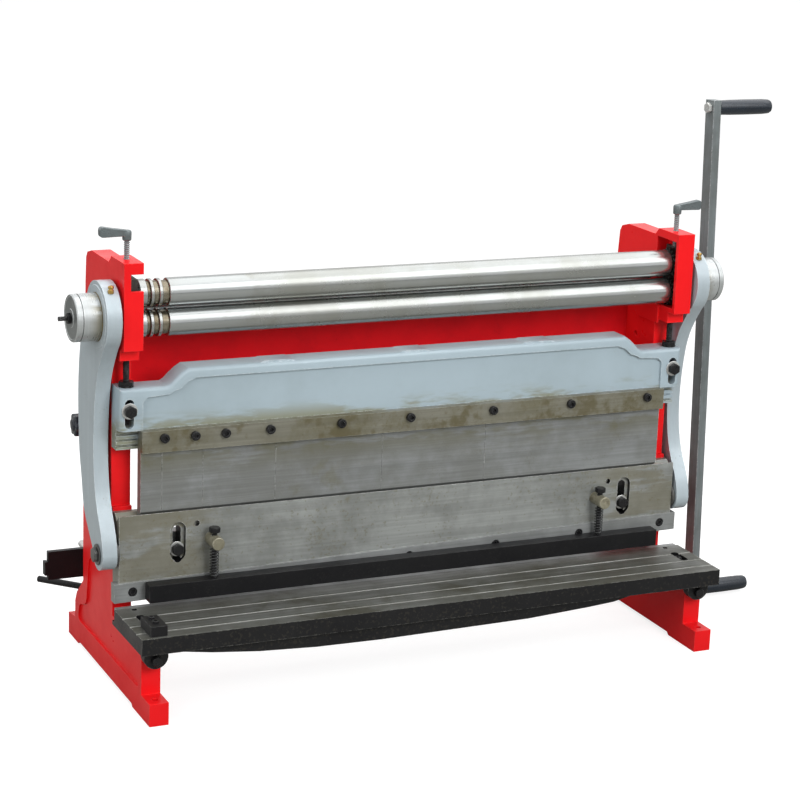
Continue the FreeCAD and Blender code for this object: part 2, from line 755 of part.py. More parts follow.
def build_gear_cover():
    """The plate over the gear recesses, with the idler's pin and bores for the shafts."""
    plate_x = ("frame_in - cover_thickness", "frame_in")
    low = "idler_z - idler_gear - cover_margin"
    high = "shaft_z + roll_gear + cover_margin"
    front = "idler_y - idler_gear - cover_margin"
    rear = "shaft_y + roll_gear + cover_margin"
    plate = prism("cover_plate", "YZ_Plane", [
        (front, low), ("idler_y + idler_gear + cover_margin", low),
        (rear, "shaft_z - roll_gear"), (rear, high), ("pocket_back + 1", high),
        ("pocket_back + 1", "pocket_low"), (front, "pocket_low")], plate_x)
    wide = ("frame_in - cover_thickness - 1", "frame_in + 1")
    pin = rod("idler_pin", "x", ("frame_in - cover_thickness", "frame_out - idler_pin_skin"),
              ("idler_y", "idler_z"), "idler_pin")
    keep("gear_cover", cut(
        "gear_cover", fuse("cover_and_pin", plate, pin),
        rod("cover_shaft_hole", "x", wide, ("shaft_y", "shaft_z"), "shaft_radius + running_play"),
        rod("cover_journal_hole", "x", wide, ("rear_roll_y", "rear_roll_z"),
            "rear_journal + loose_play")))


# ---------------------------------------------------------------- rolls and gear train

def build_bearings():
    """A block in each head's pocket that carries both pinch rolls."""
    inner = {"left": "frame_in + bearing_margin", "right": "gear_end + gear_space"}
    blocks = []
    for side in SIDES:
        block = box(f"{side}_bearing_blank", mirrored(side, inner[side], "pocket_floor"),
                    ("pocket_front + bearing_margin", "pocket_back - bearing_margin"),
                    ("pocket_low + bearing_margin", "pocket_high - bearing_drop"))
        wide = mirrored(side, "frame_in", "pocket_floor + 1")
        bores = [rod(f"{side}_{which}_bore", "x", wide, ("roll_back", height),
                     "journal_radius + running_play")
                 for which, height in (("lower", "lower_roll_height"),
                                       ("upper", "upper_roll_height"))]
        blocks.append(cut(f"bearing_block_{side}", block, *bores))
    keep("bearing_blocks", group("bearing_blocks", blocks))


def roll_profile(half, journal, journal_ends, grooved):
    """Half section of a roll along X, with its wiring grooves near the left end."""
    left, right = journal_ends
    profile = [(f"-({left})", journal), (f"-({half})", journal), (f"-({half})", "roll_radius")]
    for start, width in WIRE_GROOVES if grooved else ():
        near = f"wire_groove_start + {start} - ({half})"
        far = f"{near} + {width}"
        profile += [(near, "roll_radius"), (near, "roll_radius - wire_groove_depth"),
                    (far, "roll_radius - wire_groove_depth"), (far, "roll_radius")]
    return profile + [(half, "roll_radius"), (half, journal), (right, journal)]


def lower_roll_profile():
    """The lower roll's ends step down and run out into the hubs."""
    profile = roll_profile("roll_half", "journal_radius", ("pocket_floor", "pocket_floor"), True)
    reach = "frame_out + drive_reach"
    return ([(f"-({reach})", "drive_end"), ("-pocket_floor", "drive_end")] + profile
            + [("pocket_floor", "drive_end"), (reach, "drive_end")])


def build_rolls():
    keep("lower_roll", turned("lower_roll", lower_roll_profile(),
                              ("roll_back", "lower_roll_height")))
    journal_end = "pocket_floor - journal_play"
    pinch = roll_profile("roll_half", "journal_radius", (journal_end, journal_end), True)
    keep("upper_roll", turned("upper_roll", pinch, ("roll_back", "upper_roll_height")))
    rear = roll_profile("frame_in - rear_roll_play", "rear_journal", (journal_end, journal_end),
                        False)
    keep("rear_roll", turned("rear_roll", rear, ("rear_roll_y", "rear_roll_z")))


def gear_shape(teeth, bore):
    """A spur gear about X, one tooth centred on +Y, with straight-sided teeth and backlash."""
    module = size("gear_module")
    pitch_radius = module * teeth / 2
    step = 2 * math.pi / teeth
    corners = ((pitch_radius - 1.1 * module, 0.31), (pitch_radius + 0.75 * module, 0.10))
    points = []
    for tooth in range(teeth):
        for radius, share in (corners[0], corners[1]):
            points.append((radius, (tooth - share) * step))
        for radius, share in (corners[1], corners[0]):
            points.append((radius, (tooth + share) * step))
    ring = [Vector(0, radius * math.cos(turn), radius * math.sin(turn)) for radius, turn in points]
    blank = Part.Face(Part.makePolygon(ring + ring[:1])).extrude(Vector(size("gear_width"), 0, 0))
    hole = Part.makeCylinder(bore, size("gear_width"), Vector(), Vector(1, 0, 0))
    return blank.cut(hole)


def place_gear(name, teeth, bore, centre, turn):
    base = Vector(size("gear_start"), *centre)
    return shaped(name, gear_shape(teeth, bore),
                  Placement(base, Rotation(Vector(1, 0, 0), math.degrees(turn))))


def meshed_turn(turn, teeth, centre, next_teeth, next_centre):
    """The turn that puts the next gear's gap on the tooth that faces it."""
    bearing = math.atan2(next_centre[1] - centre[1], next_centre[0] - centre[0])
    lead = (bearing - turn) * teeth / (2 * math.pi)
    return bearing + math.pi - (0.5 - lead) * 2 * math.pi / next_teeth


def build_gears():
    """Crank pinion on its shaft, idler, lower and upper roll gears, in mesh at rest."""
    roll_teeth, idler_teeth = round(size("roll_teeth")), round(size("idler_teeth"))
    crank = (size("shaft_y"), size("shaft_z"))
    idler = (size("idler_y"), size("idler_z"))
    lower = (size("roll_back"), size("lower_roll_height"))
    upper = (size("roll_back"), size("upper_roll_height"))
    idler_turn = meshed_turn(0.0, roll_teeth, crank, idler_teeth, idler)
    lower_turn = meshed_turn(idler_turn, idler_teeth, idler, roll_teeth, lower)
    upper_turn = meshed_turn(lower_turn, roll_teeth, lower, roll_teeth, upper)
    pinion = place_gear("crank_pinion", roll_teeth, size("shaft_radius") / 2, crank, 0.0)
    shaft = rod("crank_shaft_rod", "x", ("frame_in - cover_thickness", "crank_out + shaft_stub"),
                ("shaft_y", "shaft_z"), "shaft_radius")
    keep("crank_shaft", fuse("crank_shaft", shaft, pinion))
    keep("idler_gear", place_gear("idler_gear", idler_teeth,
                                  size("idler_pin") + size("running_play"), idler, idler_turn))
    for name, centre, turn in (("lower_roll_gear", lower, lower_turn),
                               ("upper_roll_gear", upper, upper_turn)):
        keep(name, place_gear(name, roll_teeth, size("journal_radius"), centre, turn))


# ---------------------------------------------------------------- crank

def build_crank():
    """The long two-ended crank on the right, with a grip at each end."""
    width = ("-crank_width / 2", "crank_width / 2")
    bar = box("crank_blank", ("crank_in", "crank_out"), width,
              ("-bottom_throw - crank_end", "top_throw + crank_end"))
    through = ("crank_in - 1", "crank_out + 1")
    holes = [rod("crank_bore", "x", through, ("0", "0"), "shaft_radius"),
             rod("top_pin_hole", "x", through, ("0", "top_throw"), "grip_pin"),
             rod("bottom_pin_hole", "x", through, ("0", "-bottom_throw"), "grip_pin")]
    tilted("crank_bar", cut("crank_bar", bar, *holes))
    pins = []
    tip = "crank_out + grip_length"
    bore = "grip_pin + loose_play"
    for end, throw in (("top", "top_throw"), ("bottom", "-bottom_throw")):
        axis = ("0", throw)
        pin = rod(f"{end}_pin_shank", "x", ("crank_in", tip), axis, "grip_pin")
        head = hexagon(f"{end}_pin_head", "x", ("crank_in - pin_head", "crank_in"), axis,
                       "pin_flats")
        pins.append(fuse(f"grip_pin_{end}", pin, head))
        sleeve = rod(f"{end}_sleeve", "x", ("crank_out + grip_play", tip), axis, "grip_radius")
        hollow = rod(f"{end}_sleeve_bore", "x", ("crank_out", f"{tip} + 1"), axis, bore)
        tilted(f"crank_grip_{end}", cut(f"crank_grip_{end}", sleeve, hollow))
    tilted("grip_pins", group("grip_pins", pins))


def tilted(name, thing):
    """Set a piece that was built about the crank shaft at the crank's rest tilt."""
    thing.Placement = Placement(Vector(), Rotation(Vector(-1, 0, 0), size("crank_tilt")))
    bind(thing, Placement_Base_y="shaft_y", Placement_Base_z="shaft_z",
         Placement_Rotation_Angle="crank_tilt")
    keep(name, thing)


# ---------------------------------------------------------------- arms and hubs

def arm_shape():
    """A bowed arm from the ram's pin to the hub: two curved edges between two round ends."""
    pin = Vector(0, size("pin_back"), size("pin_height"))
    hub = Vector(0, size("hub_y"), size("hub_z"))
    way = hub - pin
    bow = size("arm_bow") * way.Length

    def edge(points, measure):
        return [pin + way * share + Vector(0, behind * measure, 0) for share, behind in points]

    def on_end(centre, radius, degrees):
        turn = math.radians(degrees)
        return centre + Vector(0, radius * math.cos(turn), radius * math.sin(turn))

    big, small = size("big_end"), size("small_end")
    front = [on_end(pin, small, 166)] + edge(ARM_FRONT, way.Length) + [on_end(hub, big, 228)]
    back = [on_end(hub, big, 0)] + edge(ARM_BACK, bow) + [on_end(pin, small, -5)]
    curves = []
    for points in (front, back):
        curve = Part.BSplineCurve()
        curve.interpolate(points)
        curves.append(curve.toShape())
    top = Part.Arc(front[-1], on_end(hub, big, 110), back[0]).toShape()
    bottom = Part.Arc(back[-1], on_end(pin, small, -95), front[0]).toShape()
    blank = Part.Face(Part.Wire([curves[0], top, curves[1], bottom]))
    arm = blank.extrude(Vector(size("arm_thickness"), 0, 0))
    along = Vector(1, 0, 0)
    play = size("running_play")
    bores = [Part.makeCylinder(size("hub_radius") + play, size("arm_thickness"), hub, along),
             Part.makeCylinder(size("pin_radius") + play, size("arm_thickness"), pin, along)]
    cup = Vector(size("arm_thickness") / 2, size("cup_y"), size("cup_foot"))
    bores.append(Part.makeCylinder(size("oil_cup_radius"), size("big_end") / 3, cup))
    return arm.cut(bores)


def hub_profile(side):
    """Half section of a hub: hollow over the lower roll's end, capped outside, one groove."""
    groove = "hub_out - hub_groove_place"
    groove_end = f"{groove} + hub_groove_width"
    floor = "hub_radius - hub_groove_depth"
    profile = [("hub_out - hub_cap", "hub_hollow"), ("hub_in", "hub_hollow"),
               ("hub_in", "hub_radius"), (groove, "hub_radius"), (groove, floor),
               (groove_end, floor), (groove_end, "hub_radius"), ("hub_out", "hub_radius")]
    return [(on_side(side, place), radius) for place, radius in profile]


def build_arms():
    for side in SIDES:
        start = "arm_in" if side == "right" else "arm_out"
        left_edge = SIDES[side] * size(start)
        keep(f"arm_{side}", shaped(f"arm_{side}", arm_shape(), Placement(Vector(left_edge, 0, 0),
                                                                         Rotation())))
        keep(f"hub_{side}", turned(f"hub_{side}", hub_profile(side), ("hub_y", "hub_z")))
        hub_axis = ("hub_y", "hub_z")
        screw = rod(f"{side}_hub_screw", "x", mirrored(side, "hub_out", "hub_out + hub_screw_reach"),
                    hub_axis, "hub_screw")
        nut = hexagon(f"{side}_hub_nut", "x", mirrored(side, "hub_out", "hub_out + hub_nut"),
                      hub_axis, "hub_nut_flats")
        keep(f"hub_screw_{side}", fuse(f"hub_screw_{side}", screw, nut))
        cup_axis = (on_side(side, "(arm_in + arm_out) / 2"), "cup_y")
        cup_top = "cup_foot + oil_cup_height"
        cup = rod(f"{side}_cup_body", "z", ("cup_foot", cup_top), cup_axis, "oil_cup_radius")
        keep(f"oil_cup_{side}", cut(f"oil_cup_{side}", cup, rod(
            f"{side}_cup_hollow", "z", (f"{cup_top} - oil_cup_depth", f"{cup_top} + 1"), cup_axis,
            "oil_cup_radius - oil_cup_wall")))


def build_arm_pins():
    """The bolts on the ram's ends that the arms turn on, with their discs and washers."""
    axis = ("pin_back", "pin_height")
    discs, pins, washers = [], [], []
    face = "arm_out + pin_play + pin_washer_thickness"
    for side in SIDES:
        disc = rod(f"{side}_disc_blank", "x", mirrored(side, "frame_out", "arm_in - disc_play"),
                   axis, "pin_disc")
        disc_bore = rod(f"{side}_disc_bore", "x", mirrored(side, "frame_out - 1", "arm_in + 1"),
                        axis, "pin_radius")
        discs.append(cut(f"{side}_disc", disc, disc_bore))
        shank = rod(f"{side}_pin_shank", "x", mirrored(side, "frame_out - pin_seat", face), axis,
                    "pin_radius")
        head = hexagon(f"{side}_pin_hex", "x", mirrored(side, face, f"{face} + arm_pin_head"),
                       axis, "arm_pin_flats")
        pins.append(fuse(f"{side}_arm_pin", shank, head))
        washer = rod(f"{side}_pin_washer_blank", "x", mirrored(side, "arm_out + pin_play", face),
                     axis, "pin_washer")
        washer_bore = rod(f"{side}_pin_washer_bore", "x", mirrored(side, "arm_out", f"{face} + 1"),
                          axis, "pin_radius")
        washers.append(cut(f"{side}_pin_washer", washer, washer_bore))
    keep("arm_pins", group("arm_pins", discs + pins + washers))


# ---------------------------------------------------------------- ram, upper blade, hold-down

def rake_at(place):
    """Height of the ram's underside at a place along X."""
    return f"(ram_low + ram_slope * (({place}) + frame_out))"


def ram_slots():
    tools = []
    for side in SIDES:
        place = on_side(side, "slot_place")
        tools.append(slot(f"{side}_ram_slot", place, ("slot_low", "slot_high"),
                          ("ram_front - 1", "ram_back + 1"), "slot_radius"))
        tools.append(slot(f"{side}_ram_recess", place, ("recess_low", "recess_high"),
                          ("ram_front - 1", "ram_front + recess_depth"), "recess_radius"))
        tools.append(rod(f"{side}_ram_hole", "y", ("ram_front - 1", "ram_front + ram_hole_depth"),
                         (on_side(side, "ram_hole_place"), "ram_hole_height"), "ram_hole"))
        tools.append(rod(f"{side}_stud_hole", "y", ("ram_front - 1", "ram_front + stud_root"),
                         (on_side(side, "stud_place"), "stud_height"), "stud_radius - stud_neck"))
        tools.append(rod(f"{side}_pin_seat", "x",
                         mirrored(side, "frame_out - pin_seat", "frame_out + 1"),
                         ("pin_back", "pin_height"), "pin_radius"))
    return tools


def build_ram():
    half = "frame_out"
    main = across("ram_main", [(f"-{half}", rake_at(f"-{half}")), (half, rake_at(half)),
                               (half, "ram_top"), (f"-{half}", "ram_top")],
                  ("ram_front", "ram_back"))
    drop = "blade_height - blade_edge"
    left, right = rake_at(f"-{half}"), rake_at(half)
    lip = across("ram_lip", [(f"-{half}", f"{left} - ({drop})"), (half, f"{right} - ({drop})"),
                             (half, f"{right} + lip_root"), (f"-{half}", f"{left} + lip_root")],
                 ("blade_back", "ram_back"))
    die = prism("ram_die", "YZ_Plane", [("die_y - die_depth - 1", "ram_top + 1"),
                                        ("die_y", "ram_top - die_depth"),
                                        ("die_y + die_depth + 1", "ram_top + 1")],
                (f"-{half} - 1", f"{half} + 1"))
    keep("ram", cut("ram", fuse("ram_blank", main, lip), die, *ram_slots()))
    blade = across("upper_blade_blank",
                   [("-blade_half", "blade_top_left - blade_height"),
                    ("blade_half", "blade_top_right - blade_height"),
                    ("blade_half", "blade_top_right"), ("-blade_half", "blade_top_left")],
                   ("blade_front", "blade_back"))
    seats, screws = [], []
    for step in range(-3, 4):
        place = f"{step} * blade_screw_spacing"
        seat, hole, screw = blade_screw(step + 4, (place, f"{rake_at(place)} - blade_height / 2"))
        seats += [seat, hole]
        screws.append(screw)
    keep("upper_blade", cut("upper_blade", blade, *seats))
    keep("blade_screws", group("blade_screws", screws))


def blade_screw(number, centre):
    """A socket screw of the upper blade; gives its sunk seat, its hole and the screw."""
    floor = "blade_front + blade_seat_depth"
    seat = rod(f"blade_seat_{number}", "y", ("blade_front - 1", floor), centre, "blade_screw_seat")
    hole = rod(f"blade_hole_{number}", "y", ("blade_front - 1", "blade_back + 1"), centre,
               "blade_screw")
    face = "blade_front + blade_head_sink"
    head = rod(f"blade_head_{number}", "y", (face, floor), centre, "blade_screw_head")
    shank = rod(f"blade_shank_{number}", "y", (floor, "blade_back"), centre, "blade_screw")
    socket = hexagon(f"blade_socket_{number}", "y", ("blade_front", f"{face} + socket_depth"),
                     centre, "socket_flats")
    screw = cut(f"blade_screw_{number}", fuse(f"blade_screw_blank_{number}", head, shank), socket)
    return seat, hole, screw


def spring_shape():
    """A coil from the hold-down bar up to the stud."""
    wire = size("spring_wire")
    height = size("spring_top") - size("hold_high") - 2 * (wire + size("spring_play"))
    helix = Part.makeHelix(height / size("spring_turns"), height, size("spring_radius"))
    section = Part.Wire(Part.makeCircle(wire, Vector(size("spring_radius"), 0, 0), Vector(0, 1, 0)))
    return Part.Wire(helix).makePipeShell([section], True, False)


def build_hold_down():
    """The bar that presses the sheet before the blade, hung on two sprung bolts."""
    bar = box("hold_blank", ("-hold_half", "hold_half"), ("hold_front", "hold_back"),
              ("hold_low", "hold_high"))
    studs, bolts, seats = [], [], []
    under_head = "stud_top + hold_bolt_rise"
    foot = "hold_high - hold_bolt_seat"
    for side in SIDES:
        place = on_side(side, "stud_place")
        body = rod(f"{side}_stud_body", "y", ("ram_front - stud_reach", "ram_front"),
                   (place, "stud_height"), "stud_radius")
        root = rod(f"{side}_stud_root", "y", ("ram_front", "ram_front + stud_root"),
                   (place, "stud_height"), "stud_radius - stud_neck")
        through = rod(f"{side}_stud_eye", "z", ("spring_top - 1", "stud_top + 1"),
                      (place, "hold_y"), "hold_bolt + loose_play")
        studs.append(cut(f"{side}_stud", fuse(f"{side}_stud_blank", body, root), through))
        shank = rod(f"{side}_hold_shank", "z", (foot, under_head), (place, "hold_y"), "hold_bolt")
        head = hexagon(f"{side}_hold_head", "z", (under_head, f"{under_head} + hold_bolt_head"),
                       (place, "hold_y"), "hold_bolt_flats")
        bolts.append(fuse(f"{side}_hold_bolt", shank, head))
        seats.append(rod(f"{side}_hold_seat", "z", (foot, "hold_high + 1"), (place, "hold_y"),
                         "hold_bolt"))
        centre = Vector(SIDES[side] * size("stud_place"), size("hold_y"),
                        size("hold_high") + size("spring_wire") + size("spring_play"))
        keep(f"hold_spring_{side}", shaped(f"hold_spring_{side}", spring_shape(),
                                           Placement(centre, Rotation())))
    keep("hold_down_bar", cut("hold_down_bar", bar, *seats))
    keep("spring_studs", group("spring_studs", studs))
    keep("hold_down_bolts", group("hold_down_bolts", bolts))


def guide_bolt_sets():
    """The bolts and washers that hold the ram against the guide bar and let it slide."""
    bolts, washers = [], []
    front = "guide_washer_front"
    for side in SIDES:
        centre = (on_side(side, "slot_place"), "guide_bolt_height")
        head = hexagon(f"{side}_guide_head", "y", (f"{front} - hex_height", front), centre,
                       "guide_flats")
        bolts.append(fuse(f"{side}_guide_bolt", guide_bolt_shank(f"{side}_guide_shank", side), head))
        washer = rod(f"{side}_guide_washer_blank", "y", (front, "guide_washer_back"), centre,
                     "guide_washer")
        washer_bore = rod(f"{side}_guide_washer_bore", "y", (f"{front} - 1", "guide_washer_back + 1"),
                          centre, "guide_bolt_radius")
        washers.append(cut(f"{side}_guide_washer", washer, washer_bore))
    return bolts, washers


# ---------------------------------------------------------------- beam, fingers, clamp strip

def strip_screw_rods(name, y, radius):
    return [rod(f"{name}_{index}", "y", y, (place, "strip_screw_height"), radius)
            for index, place in enumerate(STRIP_SCREWS)]


def beam_face():
    """The beam's outline in X and Z, with its S-shaped shoulders."""
    right = [("frame_out", "beam_low"), ("frame_out", "shoulder_height"),
             ("shoulder_place", "shoulder_height"),
             ("shoulder_place - 0.19 * beam_curve",
              "shoulder_height + 0.14 * (beam_high - shoulder_height)"),
             ("shoulder_place - 0.40 * beam_curve",
              "shoulder_height + 0.42 * (beam_high - shoulder_height)"),
             ("shoulder_place - 0.70 * beam_curve",
              "shoulder_height + 0.76 * (beam_high - shoulder_height)"),
             ("shoulder_place - beam_curve", "beam_high")]
    return right + [(f"-({place})", height) for place, height in reversed(right)]


def recess_face():
    """The shallow panel in the beam's front, following the shoulders."""
    rise = "(beam_high - rim_height - boss_top)"
    right = [("frame_out - end_boss", "beam_low - 1"), ("frame_out - end_boss", "boss_top"),
             ("frame_out - 1.2 * end_boss", f"boss_top + 0.20 * {rise}"),
             ("shoulder_place - 0.1 * beam_curve", f"boss_top + 0.28 * {rise}"),
             ("shoulder_place - 0.3 * beam_curve", f"boss_top + 0.40 * {rise}"),
             ("shoulder_place - 0.65 * beam_curve", f"boss_top + 0.52 * {rise}"),
             ("shoulder_place - beam_curve", f"boss_top + 0.84 * {rise}"),
             ("shoulder_place - 1.4 * beam_curve", f"boss_top + {rise}")]
    return right + [(f"-({place})", height) for place, height in reversed(right)]


def build_beam():
    face = across("beam_blank", beam_face(), ("beam_front", "column_face"))
    lip = box("beam_lip", ("-frame_out", "frame_out"), ("finger_back", "column_face"),
              ("back_lip_low", "beam_low + 1"))
    recess = across("beam_recess", recess_face(), ("beam_front - 1", "beam_front + panel_recess"))
    tools = [recess] + strip_screw_rods("beam_screw_hole", ("finger_back - 1", "strip_screw_end"),
                                        "strip_screw")
    for side in SIDES:
        tools.append(slot(f"{side}_beam_slot", on_side(side, "frame_mid"),
                          ("beam_slot_low", "beam_slot_high"),
                          ("beam_front - 1", "column_face + 1"), "beam_slot_radius"))
    keep("upper_beam", cut("upper_beam", fuse("beam_casting", face, lip), *tools))


def beam_bolt_sets():
    bolts, washers = [], []
    for side in SIDES:
        centre = (on_side(side, "frame_mid"), "beam_bolt_height")
        front = "beam_front - washer_thickness"
        shank = rod(f"{side}_beam_shank", "y", (front, "column_face + beam_bolt_grip"), centre,
                    "beam_bolt")
        head = hexagon(f"{side}_beam_head", "y", (f"{front} - hex_height", front), centre,
                       "hex_flats")
        bolts.append(fuse(f"{side}_beam_bolt", shank, head))
        washers.append(cut(f"{side}_beam_washer", rod(
            f"{side}_beam_washer_blank", "y", (front, "beam_front"), centre, "beam_washer"),
            rod(f"{side}_beam_washer_bore", "y", (f"{front} - 1", "beam_front + 1"), centre,
                "beam_bolt")))
    return bolts, washers


def build_jacks():
    """The screws between beam and heads that set the beam's height."""
    for side in SIDES:
        centre = (on_side(side, "frame_mid"), "lug_y")
        foot = "shoulder_height + jack_play"
        shank = rod(f"{side}_jack_shank", "z", (foot, "lug_low + jack_in_lug"), centre,
                    "jack_radius")
        head = hexagon(f"{side}_jack_head", "z", (foot, "shoulder_height + jack_head"), centre,
                       "jack_flats")
        keep(f"beam_jack_{side}", fuse(f"beam_jack_{side}", shank, head))


def build_frame_bolts():
    """The beam's and the ram guide's bolts, and their washers."""
    guide_bolts, guide_washers = guide_bolt_sets()
    beam_bolts, beam_washers = beam_bolt_sets()
    keep("frame_bolts", group("frame_bolts", guide_bolts + beam_bolts))
    keep("frame_washers", group("frame_washers", guide_washers + beam_washers))


def build_fingers():
    """The bending fingers under the beam, each bevelled to an edge over the ram's die."""
    depth = "finger_front + finger_slope"
    section = [("finger_front", "beam_low"), ("finger_front", "finger_tip + finger_slope"),
               (depth, "finger_tip"),
               ("finger_back", f"finger_tip + (finger_thickness - finger_slope)"),
               ("finger_back", "beam_low")]
    row = " + ".join(FINGER_WIDTHS)
    for number, width in enumerate(FINGER_WIDTHS, start=1):
        left = " + ".join([f"-({row}) / 2", *FINGER_WIDTHS[:number - 1]])
        blank = prism(f"finger_blank_{number}", "YZ_Plane", section,
                      (f"{left} + finger_gap / 2", f"{left} + {width} - finger_gap / 2"))
        low = sum(map(size, FINGER_WIDTHS[:number - 1])) - sum(map(size, FINGER_WIDTHS)) / 2
        reach = size("strip_screw")
        holes = [rod(f"finger_hole_{number}_{screw}", "y", ("finger_front - 1", "finger_back + 1"),
                     (place, "strip_screw_height"), "strip_screw")
                 for screw, place in enumerate(STRIP_SCREWS)
                 if low - reach < place < low + size(width) + reach]
        keep(f"finger_{number}", cut(f"finger_{number}", blank, *holes) if holes else blank)


def build_clamp_strip():
    strip = box("strip_blank", ("-strip_half", "strip_half"),
                ("strip_front", "finger_front"), ("strip_low", "beam_low"))
    holes = strip_screw_rods("strip_hole", ("strip_front - 1", "finger_front + 1"), "strip_screw")
    keep("clamp_strip", cut("clamp_strip", strip, *holes))
    heads = strip_screw_rods("strip_screw_head", ("strip_front - strip_screw_head_height", "strip_front"),
                             "strip_screw_head")
    shanks = strip_screw_rods("strip_screw_shank", ("strip_front", "strip_screw_end"),
                              "strip_screw")
    screws = [fuse(f"strip_screw_{index}", head, shank)
              for index, (head, shank) in enumerate(zip(heads, shanks))]
    keep("clamp_screws", group("clamp_screws", screws))


# ---------------------------------------------------------------- pressure screws and side knobs

def lever_outline(side, foot, top):
    """A clamping lever in X and Z, flaring from its boss to a rounded tip."""
    tip = "frame_mid + lever_reach"
    corners = [("frame_mid", f"{foot} + lever_root"),
               (f"{tip} - lever_round", f"{foot} + lever_tip"),
               (tip, f"{foot} + lever_tip + lever_round"),
               (tip, f"{top} + lever_rise - lever_round"),
               (f"{tip} - lever_round", f"{top} + lever_rise"), ("frame_mid", top)]
    return [(on_side(side, place), height) for place, height in corners]


def build_pressure_screws():
    for side in SIDES:
        axis = (on_side(side, "frame_mid"), "roll_back")
        foot = "head_top + pressure_rise"
        top = f"{foot} + lever_boss_height"
        screw = rod(f"{side}_pressure_rod", "z", ("pocket_high - pressure_foot",
                                                  f"{foot} + lever_lift"), axis, "pressure_radius")
        boss = rod(f"{side}_lever_boss", "z", (foot, top), axis, "lever_boss")
        grip = across(f"{side}_lever_grip", lever_outline(side, foot, top),
                      ("roll_back - lever_width / 2", "roll_back + lever_width / 2"))
        keep(f"pressure_screw_{side}", fuse(f"pressure_screw_{side}", screw, boss, grip))


def build_side_knobs():
    for side in SIDES:
        near = "frame_out + knob_stand"
        profile = [("frame_out - knob_seat", "knob_shaft"), (near, "knob_shaft"),
                   (near, "knob_radius - 1.6 * knob_dome"), (f"{near} + knob_dome", "knob_radius"),
                   (f"{near} + knob_length", "knob_radius")]
        keep(f"side_knob_{side}", turned(
            f"side_knob_{side}", [(on_side(side, place), radius) for place, radius in profile],
            ("knob_back", "knob_height")))


# ---------------------------------------------------------------- table and lower blade

def table_section():
    """The table's section in Y and Z, scored on top and rebated for the lower blade."""
    section = [("table_front", "table_seat"), ("table_front", "table_top")]
    for share in (0.18, 0.41, 0.68):
        place = f"table_front + {share} * (edge_front - table_front)"
        section += [(place, "table_top"), (place, "table_top - score_depth"),
                    (f"{place} + score_width", "table_top - score_depth"),
                    (f"{place} + score_width", "table_top")]
    return section + [("edge_front", "table_top"), ("edge_front", "edge_low"),
                      ("edge_back", "edge_low"), ("edge_back", "table_seat")]


def build_table():
    plate = prism("table_plate", "YZ_Plane", table_section(), ("-table_half", "table_half"))
    rib_front = "table_front + rib_setback"
    root = "table_seat + 2"
    edge = [(str(place), f"table_seat - {share} * rib_drop") for place, share in TABLE_RIB]
    rib = across("table_rib", edge + [(edge[-1][0], root), (edge[0][0], root)],
                 (rib_front, f"{rib_front} + rib_thickness"))
    lugs, tools, bolts, adjusters = [], [], [], []
    for side in SIDES:
        place = on_side(side, "table_half - table_lug_inset")
        lugs.append(rod(f"{side}_table_lug", "y", ("table_lug_front", "table_lug_back"),
                        (place, "table_lug_height"), "lug_radius"))
        axis = (place, "adjuster_height")
        tools.append(rod(f"{side}_adjuster_hole", "y", ("table_lug_front - 1", "table_lug_back + 1"),
                         axis, "adjuster_radius"))
        head_front = "table_lug_front - adjuster_head"
        shank = rod(f"{side}_adjuster_rod", "y", (head_front, "front_wall"), axis,
                    "adjuster_radius")
        head = hexagon(f"{side}_adjuster_head", "y", (head_front, "table_lug_front"), axis,
                       "adjuster_flats")
        adjusters.append(fuse(f"{side}_adjuster", shank, head))
        tools += table_bolt_slot(side)
        bolts.append(table_bolt(side))
    above = box("table_mask", ("-table_half", "table_half"), ("table_front", "edge_front"),
                ("table_seat + 0.5", "table_top + 1"))
    trimmed = cut("table_lugs", fuse("table_lug_blanks", *lugs), above)
    holes, screws = build_side_stop()
    keep("table", cut("table", fuse("table_blank", plate, rib, trimmed), *tools, *holes))
    keep("table_screws", group("table_screws", bolts + screws))
    keep("table_adjusters", group("table_adjusters", adjusters))
    keep("lower_blade", box("lower_blade", ("-blade_half", "blade_half"), ("edge_front", "edge_back"),
                            ("edge_low", "table_top")))


def table_bolt(side):
    """The bolt that holds one end of the table down on its frame's ledge."""
    axis = (on_side(side, "table_slot_place"), "table_bolt_back")
    shank = rod(f"{side}_table_shank", "z", ("table_seat - table_bolt_grip", "table_bore_low"),
                axis, "table_bolt")
    head = rod(f"{side}_table_head", "z", ("table_bore_low", "table_bore_low + table_head_height"),
               axis, "table_bolt_head")
    return fuse(f"{side}_table_bolt", shank, head)


def table_bolt_slot(side):
    """A long slot along Y for a table bolt, wide above for its head and narrow below."""
    middle = on_side(side, "table_slot_place")
    ends = ("table_slot_front + table_slot_radius", "table_slot_back - table_slot_radius")
    deep = ("table_bore_low", "table_top + 1")
    wide = box(f"{side}_table_slot_wide", (f"{middle} - table_slot_radius",
                                           f"{middle} + table_slot_radius"), ends, deep)
    rounds = [rod(f"{side}_table_slot_{end}", "z", deep, (middle, place), "table_slot_radius")
              for end, place in zip(("front", "back"), ends)]
    bore = rod(f"{side}_table_bolt_hole", "z", ("table_seat - 1", "table_bore_low + 1"),
               (middle, "table_bolt_back"), "table_bolt")
    back_hole = rod(f"{side}_table_back_hole", "z",
                    ("table_top - table_back_hole_depth", "table_top + 1"),
                    (middle, "edge_front - table_back_hole_inset"), "table_back_hole")
    return [wide, *rounds, bore, back_hole]


